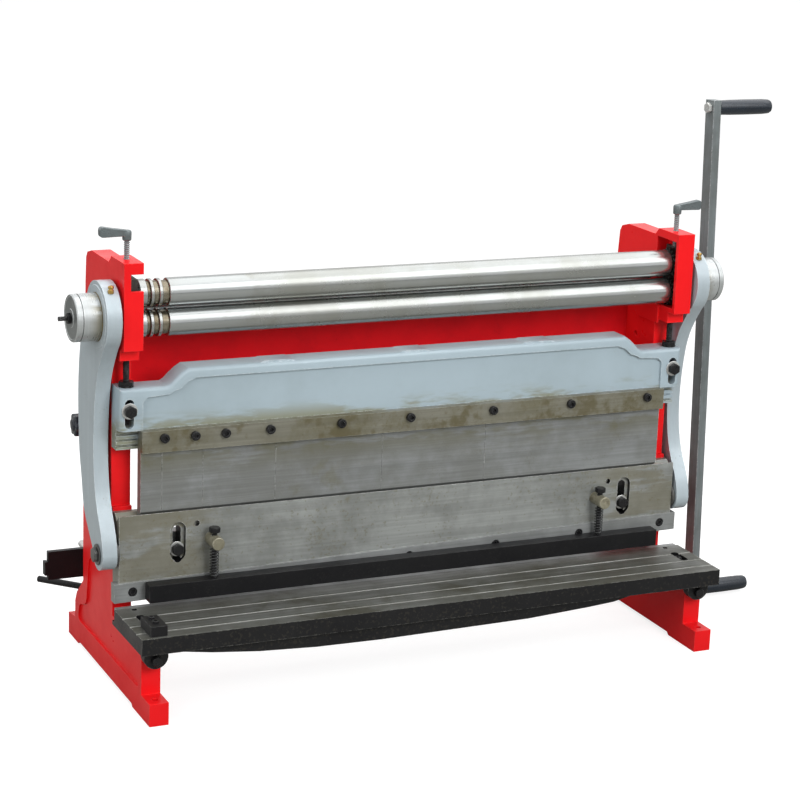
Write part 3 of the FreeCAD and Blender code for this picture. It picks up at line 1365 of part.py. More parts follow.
def build_side_stop():
    """The squaring block on the table's left end; gives its screws and their holes."""
    block = box("block_blank", ("-block_outer", "-block_inner"), ("block_front", "block_back"),
                ("table_top", "block_top"))
    holes, screws = [], []
    for number, share in enumerate((0.375, 0.75), start=1):
        axis = ("-(block_outer + block_inner) / 2",
                f"block_front + {share} * (block_back - block_front)")
        holes.append(rod(f"block_hole_{number}", "z", ("block_screw_low", "block_top + 1"), axis,
                         "block_screw"))
        shank = rod(f"block_shank_{number}", "z", ("block_screw_low", "block_top"), axis,
                    "block_screw")
        head = rod(f"block_head_{number}", "z", ("block_top", "block_top + block_head_height"),
                   axis, "block_screw_head")
        screws.append(fuse(f"block_screw_{number}", shank, head))
    keep("side_stop", cut("side_stop", block, *holes))
    return holes, screws


# ---------------------------------------------------------------- back gauge

def build_back_gauge():
    """A stop bar behind the machine that slides on two rods and is held by a lever."""
    rods, blocks, bar_holes = [], [], []
    bar = box("gauge_blank", ("-gauge_half", "gauge_half"), ("gauge_back", "gauge_end"),
              ("gauge_z - gauge_height / 2", "gauge_z + gauge_height / 2"))
    tall = ("gauge_z - bracket_half", "gauge_z + bracket_half")
    for side in SIDES:
        axis = (on_side(side, "gauge_rod_x"), "gauge_z")
        bracket = box(f"{side}_bracket_blank",
                      mirrored(side, "frame_in - 2 * gauge_rod_inset", "frame_in"),
                      ("bracket_back - bracket_length", "bracket_back"), tall)
        bare_rod = rod(f"{side}_gauge_rod", "y", ("bracket_back - 1", "gauge_rod_end"), axis,
                       "gauge_rod")
        rods.append(fuse(f"{side}_gauge_slide", bracket, bare_rod))
        bar_holes.append(rod(f"{side}_gauge_hole", "y", ("gauge_back - 1", "gauge_end + 1"), axis,
                             "gauge_rod + loose_play"))
        reach = "gauge_rod_inset - gauge_block_setback"
        block = box(f"{side}_block_blank", mirrored(side, f"gauge_rod_x - ({reach})",
                                                    f"gauge_rod_x + {reach}"),
                    ("gauge_block_y", "gauge_back"), tall)
        bore = rod(f"{side}_block_bore", "y", ("gauge_block_y - 1", "gauge_back + 1"), axis,
                   "gauge_rod + running_play")
        screw_hole = rod(f"{side}_block_screw_hole", "z", (f"{tall[0]} - 1", "gauge_z - gauge_rod"),
                         (axis[0], "gauge_screw_y"), "gauge_screw + loose_play")
        blocks.append(cut(f"{side}_gauge_block", block, bore, screw_hole))
    keep("gauge_rods", group("gauge_rods", rods))
    plate = box("gauge_end_plate", ("-gauge_half - gauge_plate", "-gauge_half"),
                ("gauge_back", "gauge_end + gauge_plate_back"),
                ("gauge_z - gauge_plate_low", "gauge_z + gauge_plate_high"))
    keep("gauge_bar", cut("gauge_bar", fuse("gauge_bar_blank", bar, plate), *bar_holes))
    keep("gauge_blocks", group("gauge_blocks", blocks))
    build_gauge_lever()


def build_gauge_lever():
    """The clamp screw under the left block, with its slanting lever."""
    axis = ("-gauge_rod_x", "gauge_screw_y")
    screw = rod("lever_screw", "z", ("gauge_lever_height - 1.5 * gauge_lever_radius",
                                     "gauge_z - gauge_rod - gauge_screw_gap"), axis, "gauge_screw")
    arm = doc.addObject("Part::Cylinder", "lever_arm")
    arm.Placement = Placement(Vector(), Rotation(Vector(0, 0, 1), size("gauge_lever_slant"))
                              * TURNS["x"])
    bind(arm, Radius="gauge_lever_radius", Height="gauge_lever_reach",
         Placement_Base_x=axis[0], Placement_Base_y=axis[1],
         Placement_Base_z="gauge_lever_height")
    keep("gauge_lever", fuse("gauge_lever", screw, arm))


# ---------------------------------------------------------------- all together

def faults():
    """What is wrong with the document or its nodes, in words."""
    found = [f"{thing.Name}: {thing.State}" for thing in doc.Objects
             if {"Invalid", "Error"} & set(thing.State)]
    for name, thing in nodes.items():
        if thing.Shape.isNull() or not thing.Shape.isValid() or not thing.Shape.Solids:
            found.append(f"{name}: bad shape")
    return found


def main():
    fill_sheet()
    build_frames()
    build_gear_cover()
    build_bearings()
    build_rolls()
    build_gears()
    build_crank()
    build_arms()
    build_arm_pins()
    build_ram()
    build_hold_down()
    build_beam()
    build_frame_bolts()
    build_jacks()
    build_fingers()
    build_clamp_strip()
    build_pressure_screws()
    build_side_knobs()
    build_table()
    build_back_gauge()
    doc.recompute()
    found = faults()
    if found:
        raise RuntimeError("; ".join(found))
    os.makedirs("parts", exist_ok=True)
    for name, thing in nodes.items():
        thing.Shape.exportStep(f"parts/{name}.step")


main()
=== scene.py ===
import json
import logging
import math
from dataclasses import dataclass
from enum import Enum
from typing import Callable, Iterable, Optional, Sequence

import bmesh
import bpy
from mathutils import Matrix, Vector

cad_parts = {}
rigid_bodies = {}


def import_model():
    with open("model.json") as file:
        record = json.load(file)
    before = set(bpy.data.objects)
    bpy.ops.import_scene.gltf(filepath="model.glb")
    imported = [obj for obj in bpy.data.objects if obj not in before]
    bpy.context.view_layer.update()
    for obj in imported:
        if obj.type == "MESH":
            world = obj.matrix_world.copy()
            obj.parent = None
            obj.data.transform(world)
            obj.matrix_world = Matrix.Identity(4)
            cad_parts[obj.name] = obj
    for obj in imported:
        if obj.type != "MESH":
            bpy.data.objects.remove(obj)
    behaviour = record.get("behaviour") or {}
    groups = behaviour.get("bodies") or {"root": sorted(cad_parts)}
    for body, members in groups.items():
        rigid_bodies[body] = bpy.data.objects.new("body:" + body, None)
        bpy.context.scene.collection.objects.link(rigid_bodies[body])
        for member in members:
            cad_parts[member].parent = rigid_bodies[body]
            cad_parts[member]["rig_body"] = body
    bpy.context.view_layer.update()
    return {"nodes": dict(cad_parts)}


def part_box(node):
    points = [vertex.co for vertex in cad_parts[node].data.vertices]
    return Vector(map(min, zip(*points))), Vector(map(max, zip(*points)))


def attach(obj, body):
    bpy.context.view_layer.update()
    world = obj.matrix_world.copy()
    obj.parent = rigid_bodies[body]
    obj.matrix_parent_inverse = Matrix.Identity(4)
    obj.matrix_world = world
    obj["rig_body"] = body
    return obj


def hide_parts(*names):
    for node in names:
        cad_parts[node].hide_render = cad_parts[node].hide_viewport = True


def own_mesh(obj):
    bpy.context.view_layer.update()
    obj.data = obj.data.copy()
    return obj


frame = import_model()

log = logging.getLogger("sheet_metal_machine")

MM = 0.001                      # sizes are written in millimetres
SIDES = {"left": -1.0, "right": 1.0}
WHITE = (1.0, 1.0, 1.0)
HEX_TURN = 30.0                 # degrees that a bolt's head is turned by
SOCKET_TURN = 12.0
RELIEF = 0.0003                 # metres of relief in every finish
CLOUD_GLOSS = 0.10              # how far clouds and tool marks shift a finish's roughness
MARK_GLOSS = 0.12
COAT_ROUGHNESS = 0.08
MERGED = 0.001                  # millimetres within which a turned shape's points are one
CAD_MERGED = 0.005              # the same in a copy of a CAD node
SMOOTH_BELOW = math.radians(32.0)
SHARP_ABOVE = math.radians(30.0)

Colour = tuple[float, float, float]
Point = tuple[float, float]
Corner = tuple[float, float, float]
Socket = bpy.types.NodeSocket


class Axis(Enum):
    """An axis of the machine: X along the rolls, Y to the back, Z up."""

    X = 0
    Y = 1
    Z = 2

    def others(self) -> list[int]:
        """The numbers of the two other axes, in their order X, Y, Z."""
        return [axis.value for axis in Axis if axis is not self]

    def way(self, step: int = 0) -> Vector:
        """The direction of this axis, or of one that many steps round."""
        return Vector([float(axis.value == (self.value + step) % 3) for axis in Axis])


# ---- shader nodes

class Wiring:
    """Adds nodes to one node tree and joins them."""

    def __init__(self, tree: bpy.types.NodeTree) -> None:
        """Start on a tree."""
        self.tree = tree

    def feed(self, socket: Socket, value: object) -> None:
        """Join a socket to another one, or set its value."""
        if isinstance(value, bpy.types.NodeSocket):
            self.tree.links.new(value, socket)
        else:
            socket.default_value = (*value, 1.0) if socket.type == "RGBA" else value

    def node(self, kind: str, settings: Optional[dict] = None, **inputs: object) -> bpy.types.Node:
        """Add a node.

        Args:
            kind: The node's type, without its ShaderNode prefix.
            settings: Attributes of the node.
            inputs: Values or sockets for its inputs, with spaces in names as underscores.

        Returns:
            The new node.
        """
        made = self.tree.nodes.new("ShaderNode" + kind)
        for name, value in (settings or {}).items():
            setattr(made, name, value)
        for name, value in inputs.items():
            self.feed(made.inputs[name.replace("_", " ")], value)
        return made

    def math(self, operation: str, *values: object) -> Socket:
        """Join two or three values with a sum, product or the like."""
        made = self.node("Math", {"operation": operation})
        for socket, value in zip(made.inputs, values):
            self.feed(socket, value)
        return made.outputs[0]

    def weighed(self, first: Socket, share: float, second: Socket, other: float) -> Socket:
        """The sum of two values, each times its share."""
        return self.math("ADD", self.math("MULTIPLY", first, share),
                         self.math("MULTIPLY", second, other))

    def vector(self, operation: str, first: Socket, second: object) -> bpy.types.Node:
        """Join two vectors."""
        made = self.node("VectorMath", {"operation": operation})
        self.feed(made.inputs[0], first)
        self.feed(made.inputs[1], second)
        return made

    def blend(self, share: object, first: object, second: object) -> Socket:
        """Mix two colours by a mask."""
        made = self.node("Mix", {"data_type": "RGBA"})
        for number, value in ((0, share), (6, first), (7, second)):
            self.feed(made.inputs[number], value)
        return made.outputs[2]

    def ramp(self, value: Socket, low: object, high: object) -> Socket:
        """Spread the part of a value between two limits over 0 to 1, with soft ends."""
        return self.node("MapRange", {"interpolation_type": "SMOOTHSTEP"}, Value=value,
                         From_Min=low, From_Max=high).outputs[0]

    def noise(self, place: Socket, scale: object, detail: float = 4.0,
              roughness: float = 0.55) -> Socket:
        """A soft cloud of values about one half."""
        return self.node("TexNoise", Vector=place, Scale=scale, Detail=detail,
                         Roughness=roughness).outputs["Fac"]


class SharedGroup(Wiring):
    """A node group that several finishes use: it reads a Vector and gives one mask."""

    def __init__(self, name: str, output: str, **inputs: float) -> None:
        """Start a group.

        Args:
            name: The group's name.
            output: Its output's name.
            inputs: Its inputs' usual values, with spaces in names as underscores.
        """
        super().__init__(bpy.data.node_groups.new(name, "ShaderNodeTree"))
        self.socket("Vector", "INPUT", "NodeSocketVector")
        for label, value in inputs.items():
            self.socket(label.replace("_", " "), "INPUT").default_value = value
        self.socket(output, "OUTPUT")
        self.given = self.tree.nodes.new("NodeGroupInput")
        self.result = self.tree.nodes.new("NodeGroupOutput")

    def socket(self, label: str, way: str, kind: str = "NodeSocketFloat") -> object:
        """Add a socket to the group's outside."""
        return self.tree.interface.new_socket(label, in_out=way, socket_type=kind)

    def __getitem__(self, label: str) -> Socket:
        """What the group is given under a name."""
        return self.given.outputs[label]

    def closed(self, value: Socket) -> bpy.types.NodeTree:
        """Give a value out, and hand over the finished group."""
        self.feed(self.result.inputs[0], value)
        return self.tree


def cloud_group() -> bpy.types.NodeTree:
    """Patches of oil, shade or thin paint: a mask of soft-edged clouds in two sizes."""
    group = SharedGroup("cloudy_patches", "Mask", Scale=6.0, Cover=0.5, Softness=0.11)
    place, scale, soft = group["Vector"], group["Scale"], group["Softness"]
    wide = group.noise(place, scale, 5.0, 0.6)
    fine = group.noise(place, group.math("MULTIPLY", scale, 5.3), 3.0, 0.6)
    both = group.weighed(wide, 0.72, fine, 0.28)
    edge = group.math("SUBTRACT", 0.80, group.math("MULTIPLY", group["Cover"], 0.55))
    lifted = group.math("SUBTRACT", both, edge)
    return group.closed(group.ramp(lifted, group.math("MULTIPLY", soft, -1.0), soft))


def speck_group() -> bpy.types.NodeTree:
    """Pits and grit: small dark or bright points, strewn unevenly."""
    group = SharedGroup("specks", "Mask", Scale=400.0, Cover=0.3)
    place, scale = group["Vector"], group["Scale"]
    grit = group.noise(place, scale, 2.0, 0.7)
    where = group.noise(place, group.math("MULTIPLY", scale, 0.06), 3.0, 0.6)
    both = group.math("ADD", grit, group.math("MULTIPLY", where, 0.35))
    edge = group.math("SUBTRACT", 0.92, group.math("MULTIPLY", group["Cover"], 0.4))
    return group.closed(group.ramp(group.math("SUBTRACT", both, edge), 0.0, 0.09))


def grain_group() -> bpy.types.NodeTree:
    """Tool marks: fine lines along one direction, as grinding, turning or milling leaves."""
    group = SharedGroup("tool_marks", "Lines", Along_X=1.0, Along_Y=1.0, Along_Z=1.0,
                        Scale=300.0)
    stretch = group.node("CombineXYZ", X=group["Along X"], Y=group["Along Y"],
                         Z=group["Along Z"])
    drawn = group.vector("MULTIPLY", group["Vector"], stretch.outputs[0]).outputs[0]
    fine = group.noise(drawn, group["Scale"], 3.0, 0.65)
    broad = group.noise(drawn, group.math("MULTIPLY", group["Scale"], 0.22), 2.0, 0.5)
    return group.closed(group.weighed(fine, 0.6, broad, 0.4))


def edge_wear_highlight_group() -> bpy.types.NodeTree:
    """Edge wear and painted edge highlight: a mask where the surface turns sharply, broken up by a
    cloud.
    """
    group = SharedGroup("edge_wear_and_highlight_mask", "Mask", Width=0.002, Amount=0.5)
    bent = group.node("Bevel", {"samples": 4}, Radius=group["Width"])
    flat = group.node("NewGeometry")
    turn = group.vector("DOT_PRODUCT", bent.outputs[0], flat.outputs["Normal"])
    sharp = group.ramp(group.math("SUBTRACT", 1.0, turn.outputs["Value"]), 0.02, 0.20)
    broken = group.ramp(group.noise(group["Vector"], 120.0, 4.0, 0.65), 0.38, 0.62)
    return group.closed(group.math("MULTIPLY", group.math("MULTIPLY", sharp, broken),
                                   group["Amount"]))


GROUPS = {"clouds": cloud_group(), "specks": speck_group(), "grain": grain_group(),
          "edges": edge_wear_highlight_group()}


# ---- finishes

class Grain(Enum):
    """The direction of a finish's tool marks, as how far a pattern is drawn out on each axis."""

    ALONG_ROLLS = (0.02, 1.0, 1.0)
    UPRIGHT = (1.0, 1.0, 0.02)
    ROUND_THE_ROLLS = (1.0, 0.03, 0.03)
    EVEN = (1.0, 1.0, 1.0)


@dataclass(frozen=True)
class Finish:
    """One surface finish of the machine, its wear, and its painted edge highlights."""

    name: str
    slot: str
    colour: Colour
    patch: Colour
    stain: Colour
    # Colour that sharp edges lighten to: partly edge wear, partly painted edge highlight.
    wear_highlight_tone: Colour
    roughness: float
    metallic: float = 0.0
    coat: float = 0.0
    specular: float = 0.5
    patches: tuple[float, ...] = (5.0, 0.5)             # scale and cover
    stains: tuple[float, ...] = (9.0, 0.2, 0.06, 0.6)   # scale, cover, softness, strength
    specks: tuple[float, ...] = (350.0, 0.2, 0.4)       # scale, cover, strength
    edges: tuple[float, ...] = (0.0015, 0.4)            # width and amount of the edge wear and painted edge highlight
    grain: Grain = Grain.EVEN
    marks: tuple[float, ...] = (260.0, 0.15, 0.05)      # scale, tone, depth
    seep: Optional[tuple[Axis, float, float, float]] = None     # from, to, strength of the oil

    def group(self, wires: Wiring, kind: str, place: Socket, *values: float) -> Socket:
        """Place a shared group in this finish's material and give its output."""
        made = wires.node("Group", {"node_tree": GROUPS[kind]}, Vector=place)
        for socket, value in zip(made.inputs[1:], values):
            wires.feed(socket, value)
        return made.outputs[0]

    def seeped(self, wires: Wiring, place: Socket) -> Socket:
        """A mask of oil that has crept over the surface from a joint, along one axis."""
        axis, start, end, strength = self.seep
        parts = wires.node("SeparateXYZ", Vector=place)
        near = wires.ramp(wires.math("ABSOLUTE", parts.outputs[axis.value], 0.0), end, start)
        flat = wires.vector("MULTIPLY", place, (0.35, 1.0, 1.6))
        patches = self.group(wires, "clouds", flat.outputs[0], 11.0, 0.60, 0.05)
        return wires.math("MULTIPLY", wires.math("MULTIPLY", near, patches), strength)

    def material(self) -> bpy.types.Material:
        """Build the finish's material.

        Returns:
            A material whose colour, roughness and relief vary over the surface.
        """
        made = bpy.data.materials.new(self.name)
        made.use_nodes = True
        wires = Wiring(made.node_tree)
        place = wires.node("TexCoord").outputs["Object"]
        *stains, stain_strength = self.stains
        *specks, speck_strength = self.specks
        mark_scale, mark_tone, mark_depth = self.marks
        clouds = self.group(wires, "clouds", place, *self.patches)
        stained = self.group(wires, "clouds", place, *stains)
        pitted = self.group(wires, "specks", place, *specks)
        edge_wear_highlight = self.group(wires, "edges", place, *self.edges)
        lines = self.group(wires, "grain", place, *self.grain.value, mark_scale)
        tone = wires.blend(clouds, self.colour, self.patch)
        shade = wires.math("MULTIPLY", wires.ramp(lines, 0.35, 0.65), mark_tone)
        tone = wires.blend(shade, tone, tuple(0.5 * part for part in self.patch))
        for mask, strength in ((stained, stain_strength), (pitted, speck_strength)):
            tone = wires.blend(wires.math("MULTIPLY", mask, strength), tone, self.stain)
        if self.seep:
            tone = wires.blend(self.seeped(wires, place), tone, self.stain)
        rough = wires.math("MULTIPLY_ADD", clouds, CLOUD_GLOSS, self.roughness - CLOUD_GLOSS / 2)
        rough = wires.math("MULTIPLY_ADD", lines, MARK_GLOSS, rough)
        height = wires.weighed(lines, mark_depth, pitted, -mark_depth)
        relief = wires.node("Bump", Strength=0.6, Distance=RELIEF, Height=height)
        surface = made.node_tree.nodes["Principled BSDF"].inputs
        # Sharp edges lighten towards the edge colour: partly edge wear, partly painted edge
        # highlight.
        for label, value in (("Base Color", wires.blend(edge_wear_highlight, tone, self.wear_highlight_tone)),
                             ("Roughness", wires.math("SUBTRACT", rough, MARK_GLOSS / 2)),
                             ("Normal", relief.outputs["Normal"]), ("Metallic", self.metallic),
                             ("Specular IOR Level", self.specular), ("Coat Weight", self.coat),
                             ("Coat Roughness", COAT_ROUGHNESS)):
            wires.feed(surface[label], value)
        return made


RED = Finish(
    "red_enamel", "red_enamel", (0.82, 0.01, 0.013), (0.73, 0.008, 0.011), (0.22, 0.008, 0.01),
    (0.92, 0.16, 0.15), 0.34, coat=0.04, specular=0.16, patches=(3.0, 0.5),
    stains=(6.0, 0.1, 0.06, 0.3), specks=(220.0, 0.08, 0.35), edges=(0.0025, 0.3),
    marks=(70.0, 0.03, 0.35))
PANEL_RED = Finish(
    "red_sheet", "red_enamel", (0.8, 0.01, 0.016), (0.66, 0.008, 0.014), (0.16, 0.008, 0.01),
    (0.85, 0.1, 0.1), 0.42, specular=0.18, patches=(4.0, 0.5), stains=(10.0, 0.18, 0.06, 0.45),
    specks=(350.0, 0.16, 0.4), marks=(120.0, 0.05, 0.15))
CAST_GREY = Finish(
    "cast_grey_paint", "grey_enamel", (0.355, 0.44, 0.49), (0.315, 0.39, 0.43),
    (0.205, 0.195, 0.105), (0.7, 0.75, 0.77), 0.36, coat=0.12, patches=(2.5, 0.45),
    stains=(7.0, 0.1, 0.06, 0.35), specks=(260.0, 0.06, 0.4), edges=(0.0035, 0.75),
    marks=(75.0, 0.03, 0.35), seep=(Axis.Z, 0.462, 0.5, 0.8))
STRIP = Finish(
    "clamp_strip_steel", "ground_steel", (0.225, 0.22, 0.18), (0.165, 0.155, 0.105),
    (0.095, 0.078, 0.032), (0.58, 0.58, 0.52), 0.4, metallic=0.25, patches=(9.0, 0.5),
    stains=(13.0, 0.46, 0.06, 0.7), specks=(200.0, 0.35, 0.4), edges=(0.0016, 0.7),
    grain=Grain.ALONG_ROLLS, marks=(260.0, 0.4, 0.25))
FINGER = Finish(
    "finger_steel", "ground_steel", (0.27, 0.284, 0.288), (0.205, 0.212, 0.205),
    (0.128, 0.12, 0.062), (0.72, 0.73, 0.72), 0.38, metallic=0.3, patches=(7.0, 0.55),
    stains=(9.0, 0.3, 0.06, 0.5), specks=(350.0, 0.3, 0.4), edges=(0.0018, 1.0),
    grain=Grain.ALONG_ROLLS, marks=(300.0, 0.38, 0.18), seep=(Axis.Z, 0.445, 0.36, 0.8))
RAM_STEEL = Finish(
    "ram_casting", "bare_casting", (0.325, 0.34, 0.33), (0.222, 0.232, 0.221),
    (0.155, 0.138, 0.08), (0.7, 0.71, 0.7), 0.4, metallic=0.25, patches=(6.0, 0.55),
    stains=(12.0, 0.26, 0.05, 0.6), specks=(190.0, 0.34, 0.5), edges=(0.002, 1.0),
    grain=Grain.ALONG_ROLLS, marks=(210.0, 0.34, 0.3), seep=(Axis.X, 0.44, 0.33, 0.55))
BLADE = Finish(
    "blade_steel", "ground_steel", (0.365, 0.38, 0.382), (0.235, 0.245, 0.242),
    (0.14, 0.13, 0.08), (0.7, 0.72, 0.72), 0.34, metallic=0.35, patches=(4.0, 0.6),
    stains=(15.0, 0.3, 0.06, 0.5), edges=(0.0012, 0.8), grain=Grain.ALONG_ROLLS,
    marks=(260.0, 0.3, 0.12))
TABLE_TOP = Finish(
    "table_top_machined", "bare_casting", (0.155, 0.16, 0.15), (0.085, 0.085, 0.07),
    (0.038, 0.035, 0.02), (0.5, 0.5, 0.47), 0.34, metallic=0.3, patches=(4.0, 0.55),
    stains=(7.0, 0.42, 0.06, 0.7), specks=(350.0, 0.4, 0.4), edges=(0.002, 0.9),
    grain=Grain.ALONG_ROLLS, marks=(110.0, 0.6, 0.5))
BLOCK_CAST = Finish(
    "bearing_casting", "bare_casting", (0.06, 0.06, 0.055), (0.035, 0.035, 0.03),
    (0.015, 0.014, 0.01), (0.2, 0.2, 0.19), 0.5, metallic=0.2, specular=0.3,
    stains=(9.0, 0.4, 0.06, 0.6), marks=(260.0, 0.4, 0.6))
ROLL = Finish(
    "polished_roll", "rolled_steel", (0.455, 0.475, 0.475), (0.385, 0.392, 0.365),
    (0.215, 0.2, 0.145), (0.8, 0.8, 0.78), 0.26, metallic=0.95, patches=(3.0, 0.5),
    stains=(5.0, 0.24, 0.06, 0.5), specks=(350.0, 0.02, 0.2), edges=(0.001, 0.0),
    grain=Grain.ALONG_ROLLS, marks=(90.0, 0.25, 0.0))
# Darker brown for the walls and floors of the wire grooves: partly oil, partly painted shade in the
# grooves.
ROLL_GROOVE = Finish(
    "oily_and_shaded_groove", "rolled_steel", (0.3, 0.275, 0.215), (0.17, 0.138, 0.09), (0.05, 0.036, 0.022),
    (0.3, 0.27, 0.2), 0.3, metallic=0.9, patches=(30.0, 0.5), stains=(50.0, 0.4, 0.06, 0.6),
    edges=(0.0008, 0.0))
GEAR = Finish(
    "greased_gear", "rolled_steel", (0.035, 0.033, 0.03), (0.018, 0.017, 0.016),
    (0.007, 0.006, 0.005), (0.26, 0.26, 0.25), 0.32, metallic=0.4, coat=0.15, specular=0.3,
    stains=(9.0, 0.5, 0.06, 0.6), edges=(0.001, 0.8))
BRIGHT = Finish(
    "bright_turned", "bright_hub", (0.52, 0.545, 0.55), (0.44, 0.46, 0.46), (0.185, 0.155, 0.075),
    (0.82, 0.82, 0.82), 0.32, metallic=0.5, coat=0.05, patches=(9.0, 0.5),
    stains=(16.0, 0.22, 0.06, 0.45), specks=(350.0, 0.05, 0.4), edges=(0.001, 0.5),
    grain=Grain.ROUND_THE_ROLLS, marks=(500.0, 0.16, 0.02), seep=(Axis.X, 0.579, 0.606, 0.75))
HUB_FACE = Finish(
    "turned_hub_face", "bright_hub", (0.225, 0.24, 0.237), (0.17, 0.182, 0.18),
    (0.06, 0.055, 0.035), (0.6, 0.61, 0.61), 0.36, metallic=0.4, specular=0.3,
    patches=(14.0, 0.5), stains=(25.0, 0.3, 0.06, 0.6), edges=(0.0012, 0.8),
    marks=(300.0, 0.25, 0.1))
ARM = Finish(
    "satin_arm", "bright_hub", (0.425, 0.495, 0.535), (0.38, 0.44, 0.475), (0.19, 0.175, 0.11),
    (0.74, 0.77, 0.78), 0.34, metallic=0.1, coat=0.12, patches=(4.0, 0.5),
    stains=(12.0, 0.1, 0.06, 0.4), edges=(0.0025, 0.6), grain=Grain.UPRIGHT,
    marks=(160.0, 0.12, 0.06))
PIN_STEEL = Finish(
    "arm_pin_steel", "zinc_steel", (0.115, 0.115, 0.11), (0.075, 0.075, 0.072),
    (0.035, 0.03, 0.022), (0.52, 0.52, 0.5), 0.34, metallic=0.4, specular=0.3,
    patches=(40.0, 0.5), edges=(0.001, 0.8))
OLD_OIL = Finish(
    "old_oil", "bright_hub", (0.15, 0.115, 0.045), (0.07, 0.052, 0.02), (0.02, 0.015, 0.008),
    (0.24, 0.2, 0.1), 0.45, patches=(30.0, 0.6), stains=(60.0, 0.5, 0.06, 0.6))
BLACK_STEEL = Finish(
    "black_oxide", "black_steel", (0.012, 0.012, 0.013), (0.008, 0.008, 0.009),
    (0.035, 0.032, 0.028), (0.3, 0.3, 0.3), 0.32, metallic=0.1, specular=0.3, patches=(30.0, 0.5),
    edges=(0.0008, 0.75))
BLACK_PAINT = Finish(
    "black_paint", "black_paint", (0.01, 0.01, 0.011), (0.006, 0.006, 0.007),
    (0.03, 0.029, 0.026), (0.2, 0.2, 0.2), 0.4, specular=0.22, stains=(14.0, 0.2, 0.06, 0.5),
    specks=(350.0, 0.35, 0.4), edges=(0.0018, 0.55), marks=(150.0, 0.15, 0.3))
TABLE_PAINT = Finish(
    "table_black_paint", "bare_casting", (0.011, 0.011, 0.012), (0.007, 0.007, 0.008),
    (0.04, 0.036, 0.028), (0.26, 0.26, 0.24), 0.36, specular=0.25, patches=(4.0, 0.5),
    stains=(9.0, 0.24, 0.06, 0.55), specks=(180.0, 0.45, 0.4), edges=(0.0022, 0.65),
    marks=(110.0, 0.15, 0.6))
LEVER_GREY = Finish(
    "lever_grey", "grey_lever", (0.14, 0.165, 0.17), (0.105, 0.125, 0.13), (0.05, 0.05, 0.045),
    (0.5, 0.52, 0.52), 0.32, metallic=0.3, patches=(25.0, 0.5), edges=(0.0012, 0.7),
    marks=(260.0, 0.12, 0.15))
CRANK_STEEL = Finish(
    "crank_flat_steel", "grey_lever", (0.22, 0.248, 0.256), (0.15, 0.168, 0.168),
    (0.072, 0.068, 0.056), (0.62, 0.64, 0.65), 0.36, metallic=0.35, specular=0.4,
    patches=(6.0, 0.5), stains=(18.0, 0.26, 0.06, 0.5), edges=(0.0022, 1.0), grain=Grain.UPRIGHT,
    marks=(220.0, 0.35, 0.18))
ZINC = Finish(
    "zinc_plate", "zinc_steel", (0.62, 0.63, 0.62), (0.52, 0.52, 0.5), (0.16, 0.15, 0.12),
    (0.78, 0.78, 0.78), 0.3, metallic=0.6, patches=(60.0, 0.5), stains=(80.0, 0.2, 0.06, 0.6))
YELLOW_ZINC = Finish(
    "yellow_passivate", "yellow_zinc", (0.38, 0.355, 0.265), (0.25, 0.235, 0.17),
    (0.11, 0.085, 0.045), (0.8, 0.79, 0.72), 0.32, metallic=0.5, patches=(45.0, 0.6),
    stains=(70.0, 0.4, 0.06, 0.6), edges=(0.0014, 0.8))
THREAD = Finish(
    "plated_thread", "zinc_steel", (0.3, 0.315, 0.325), (0.22, 0.23, 0.235), (0.08, 0.075, 0.06),
    (0.7, 0.71, 0.72), 0.3, metallic=0.6, patches=(60.0, 0.5), stains=(80.0, 0.2, 0.06, 0.6),
    edges=(0.0008, 0.8))
SPRING = Finish(
    "spring_wire", "black_steel", (0.105, 0.108, 0.11), (0.06, 0.062, 0.063),
    (0.025, 0.022, 0.018), (0.62, 0.63, 0.64), 0.22, metallic=0.85, patches=(60.0, 0.5),
    stains=(80.0, 0.2, 0.06, 0.6), edges=(0.0006, 0.5))
SCORE = Finish(
    "scored_line", "bare_casting", (0.56, 0.57, 0.55), (0.33, 0.33, 0.3), (0.12, 0.11, 0.08),
    (0.75, 0.75, 0.73), 0.36, metallic=0.3, patches=(9.0, 0.5), stains=(16.0, 0.3, 0.06, 0.6),
    grain=Grain.ALONG_ROLLS, marks=(260.0, 0.3, 0.05))
BRASS = Finish(
    "oiler_brass", "oiler_brass", (0.66, 0.42, 0.12), (0.46, 0.27, 0.07), (0.12, 0.07, 0.02),
    (0.95, 0.85, 0.6), 0.24, metallic=0.85, patches=(90.0, 0.5), stains=(120.0, 0.4, 0.06, 0.6))
GRIP = Finish(
    "grip_plastic", "grip_plastic", (0.011, 0.017, 0.026), (0.008, 0.012, 0.019),
    (0.03, 0.036, 0.046), (0.06, 0.07, 0.085), 0.27, coat=0.1, specular=0.5, patches=(20.0, 0.5),
    grain=Grain.ALONG_ROLLS, marks=(300.0, 0.15, 0.2))


class Paintshop:
    """Gives out each finish's material, built once."""

    def __init__(self) -> None:
        """Start with no materials made."""
        self.made: dict[str, bpy.types.Material] = {}

    def material(self, finish: Finish) -> bpy.types.Material:
        """The material of a finish."""
        if finish.name not in self.made:
            self.made[finish.name] = finish.material()
        return self.made[finish.name]


PAINTSHOP = Paintshop()


# ---- shaping

def rounded(corners: Sequence[Corner], steps: int = 6) -> list[Point]:
    """Round the corners of an outline.

    Args:
        corners: Each corner's two places and its radius, in order round the outline.
        steps: How many straight steps make one rounded corner.

    Returns:
        The outline's points.
    """
    points: list[Point] = []
    for index, (first, second, radius) in enumerate(corners):
        if radius <= 0.0:
            points.append((first, second))
            continue
        here = Vector((first, second))
        before = Vector(corners[index - 1][:2]) - here
        after = Vector(corners[(index + 1) % len(corners)][:2]) - here
        reach = min(radius / math.tan(before.angle(after) / 2), 0.49 * before.length,
                    0.49 * after.length)
        start = here + before.normalized() * reach
        end = here + after.normalized() * reach
        for step in range(steps + 1):
            share = step / steps
            blended = start.lerp(here, share).lerp(here.lerp(end, share), share)
            points.append((blended.x, blended.y))
    return points


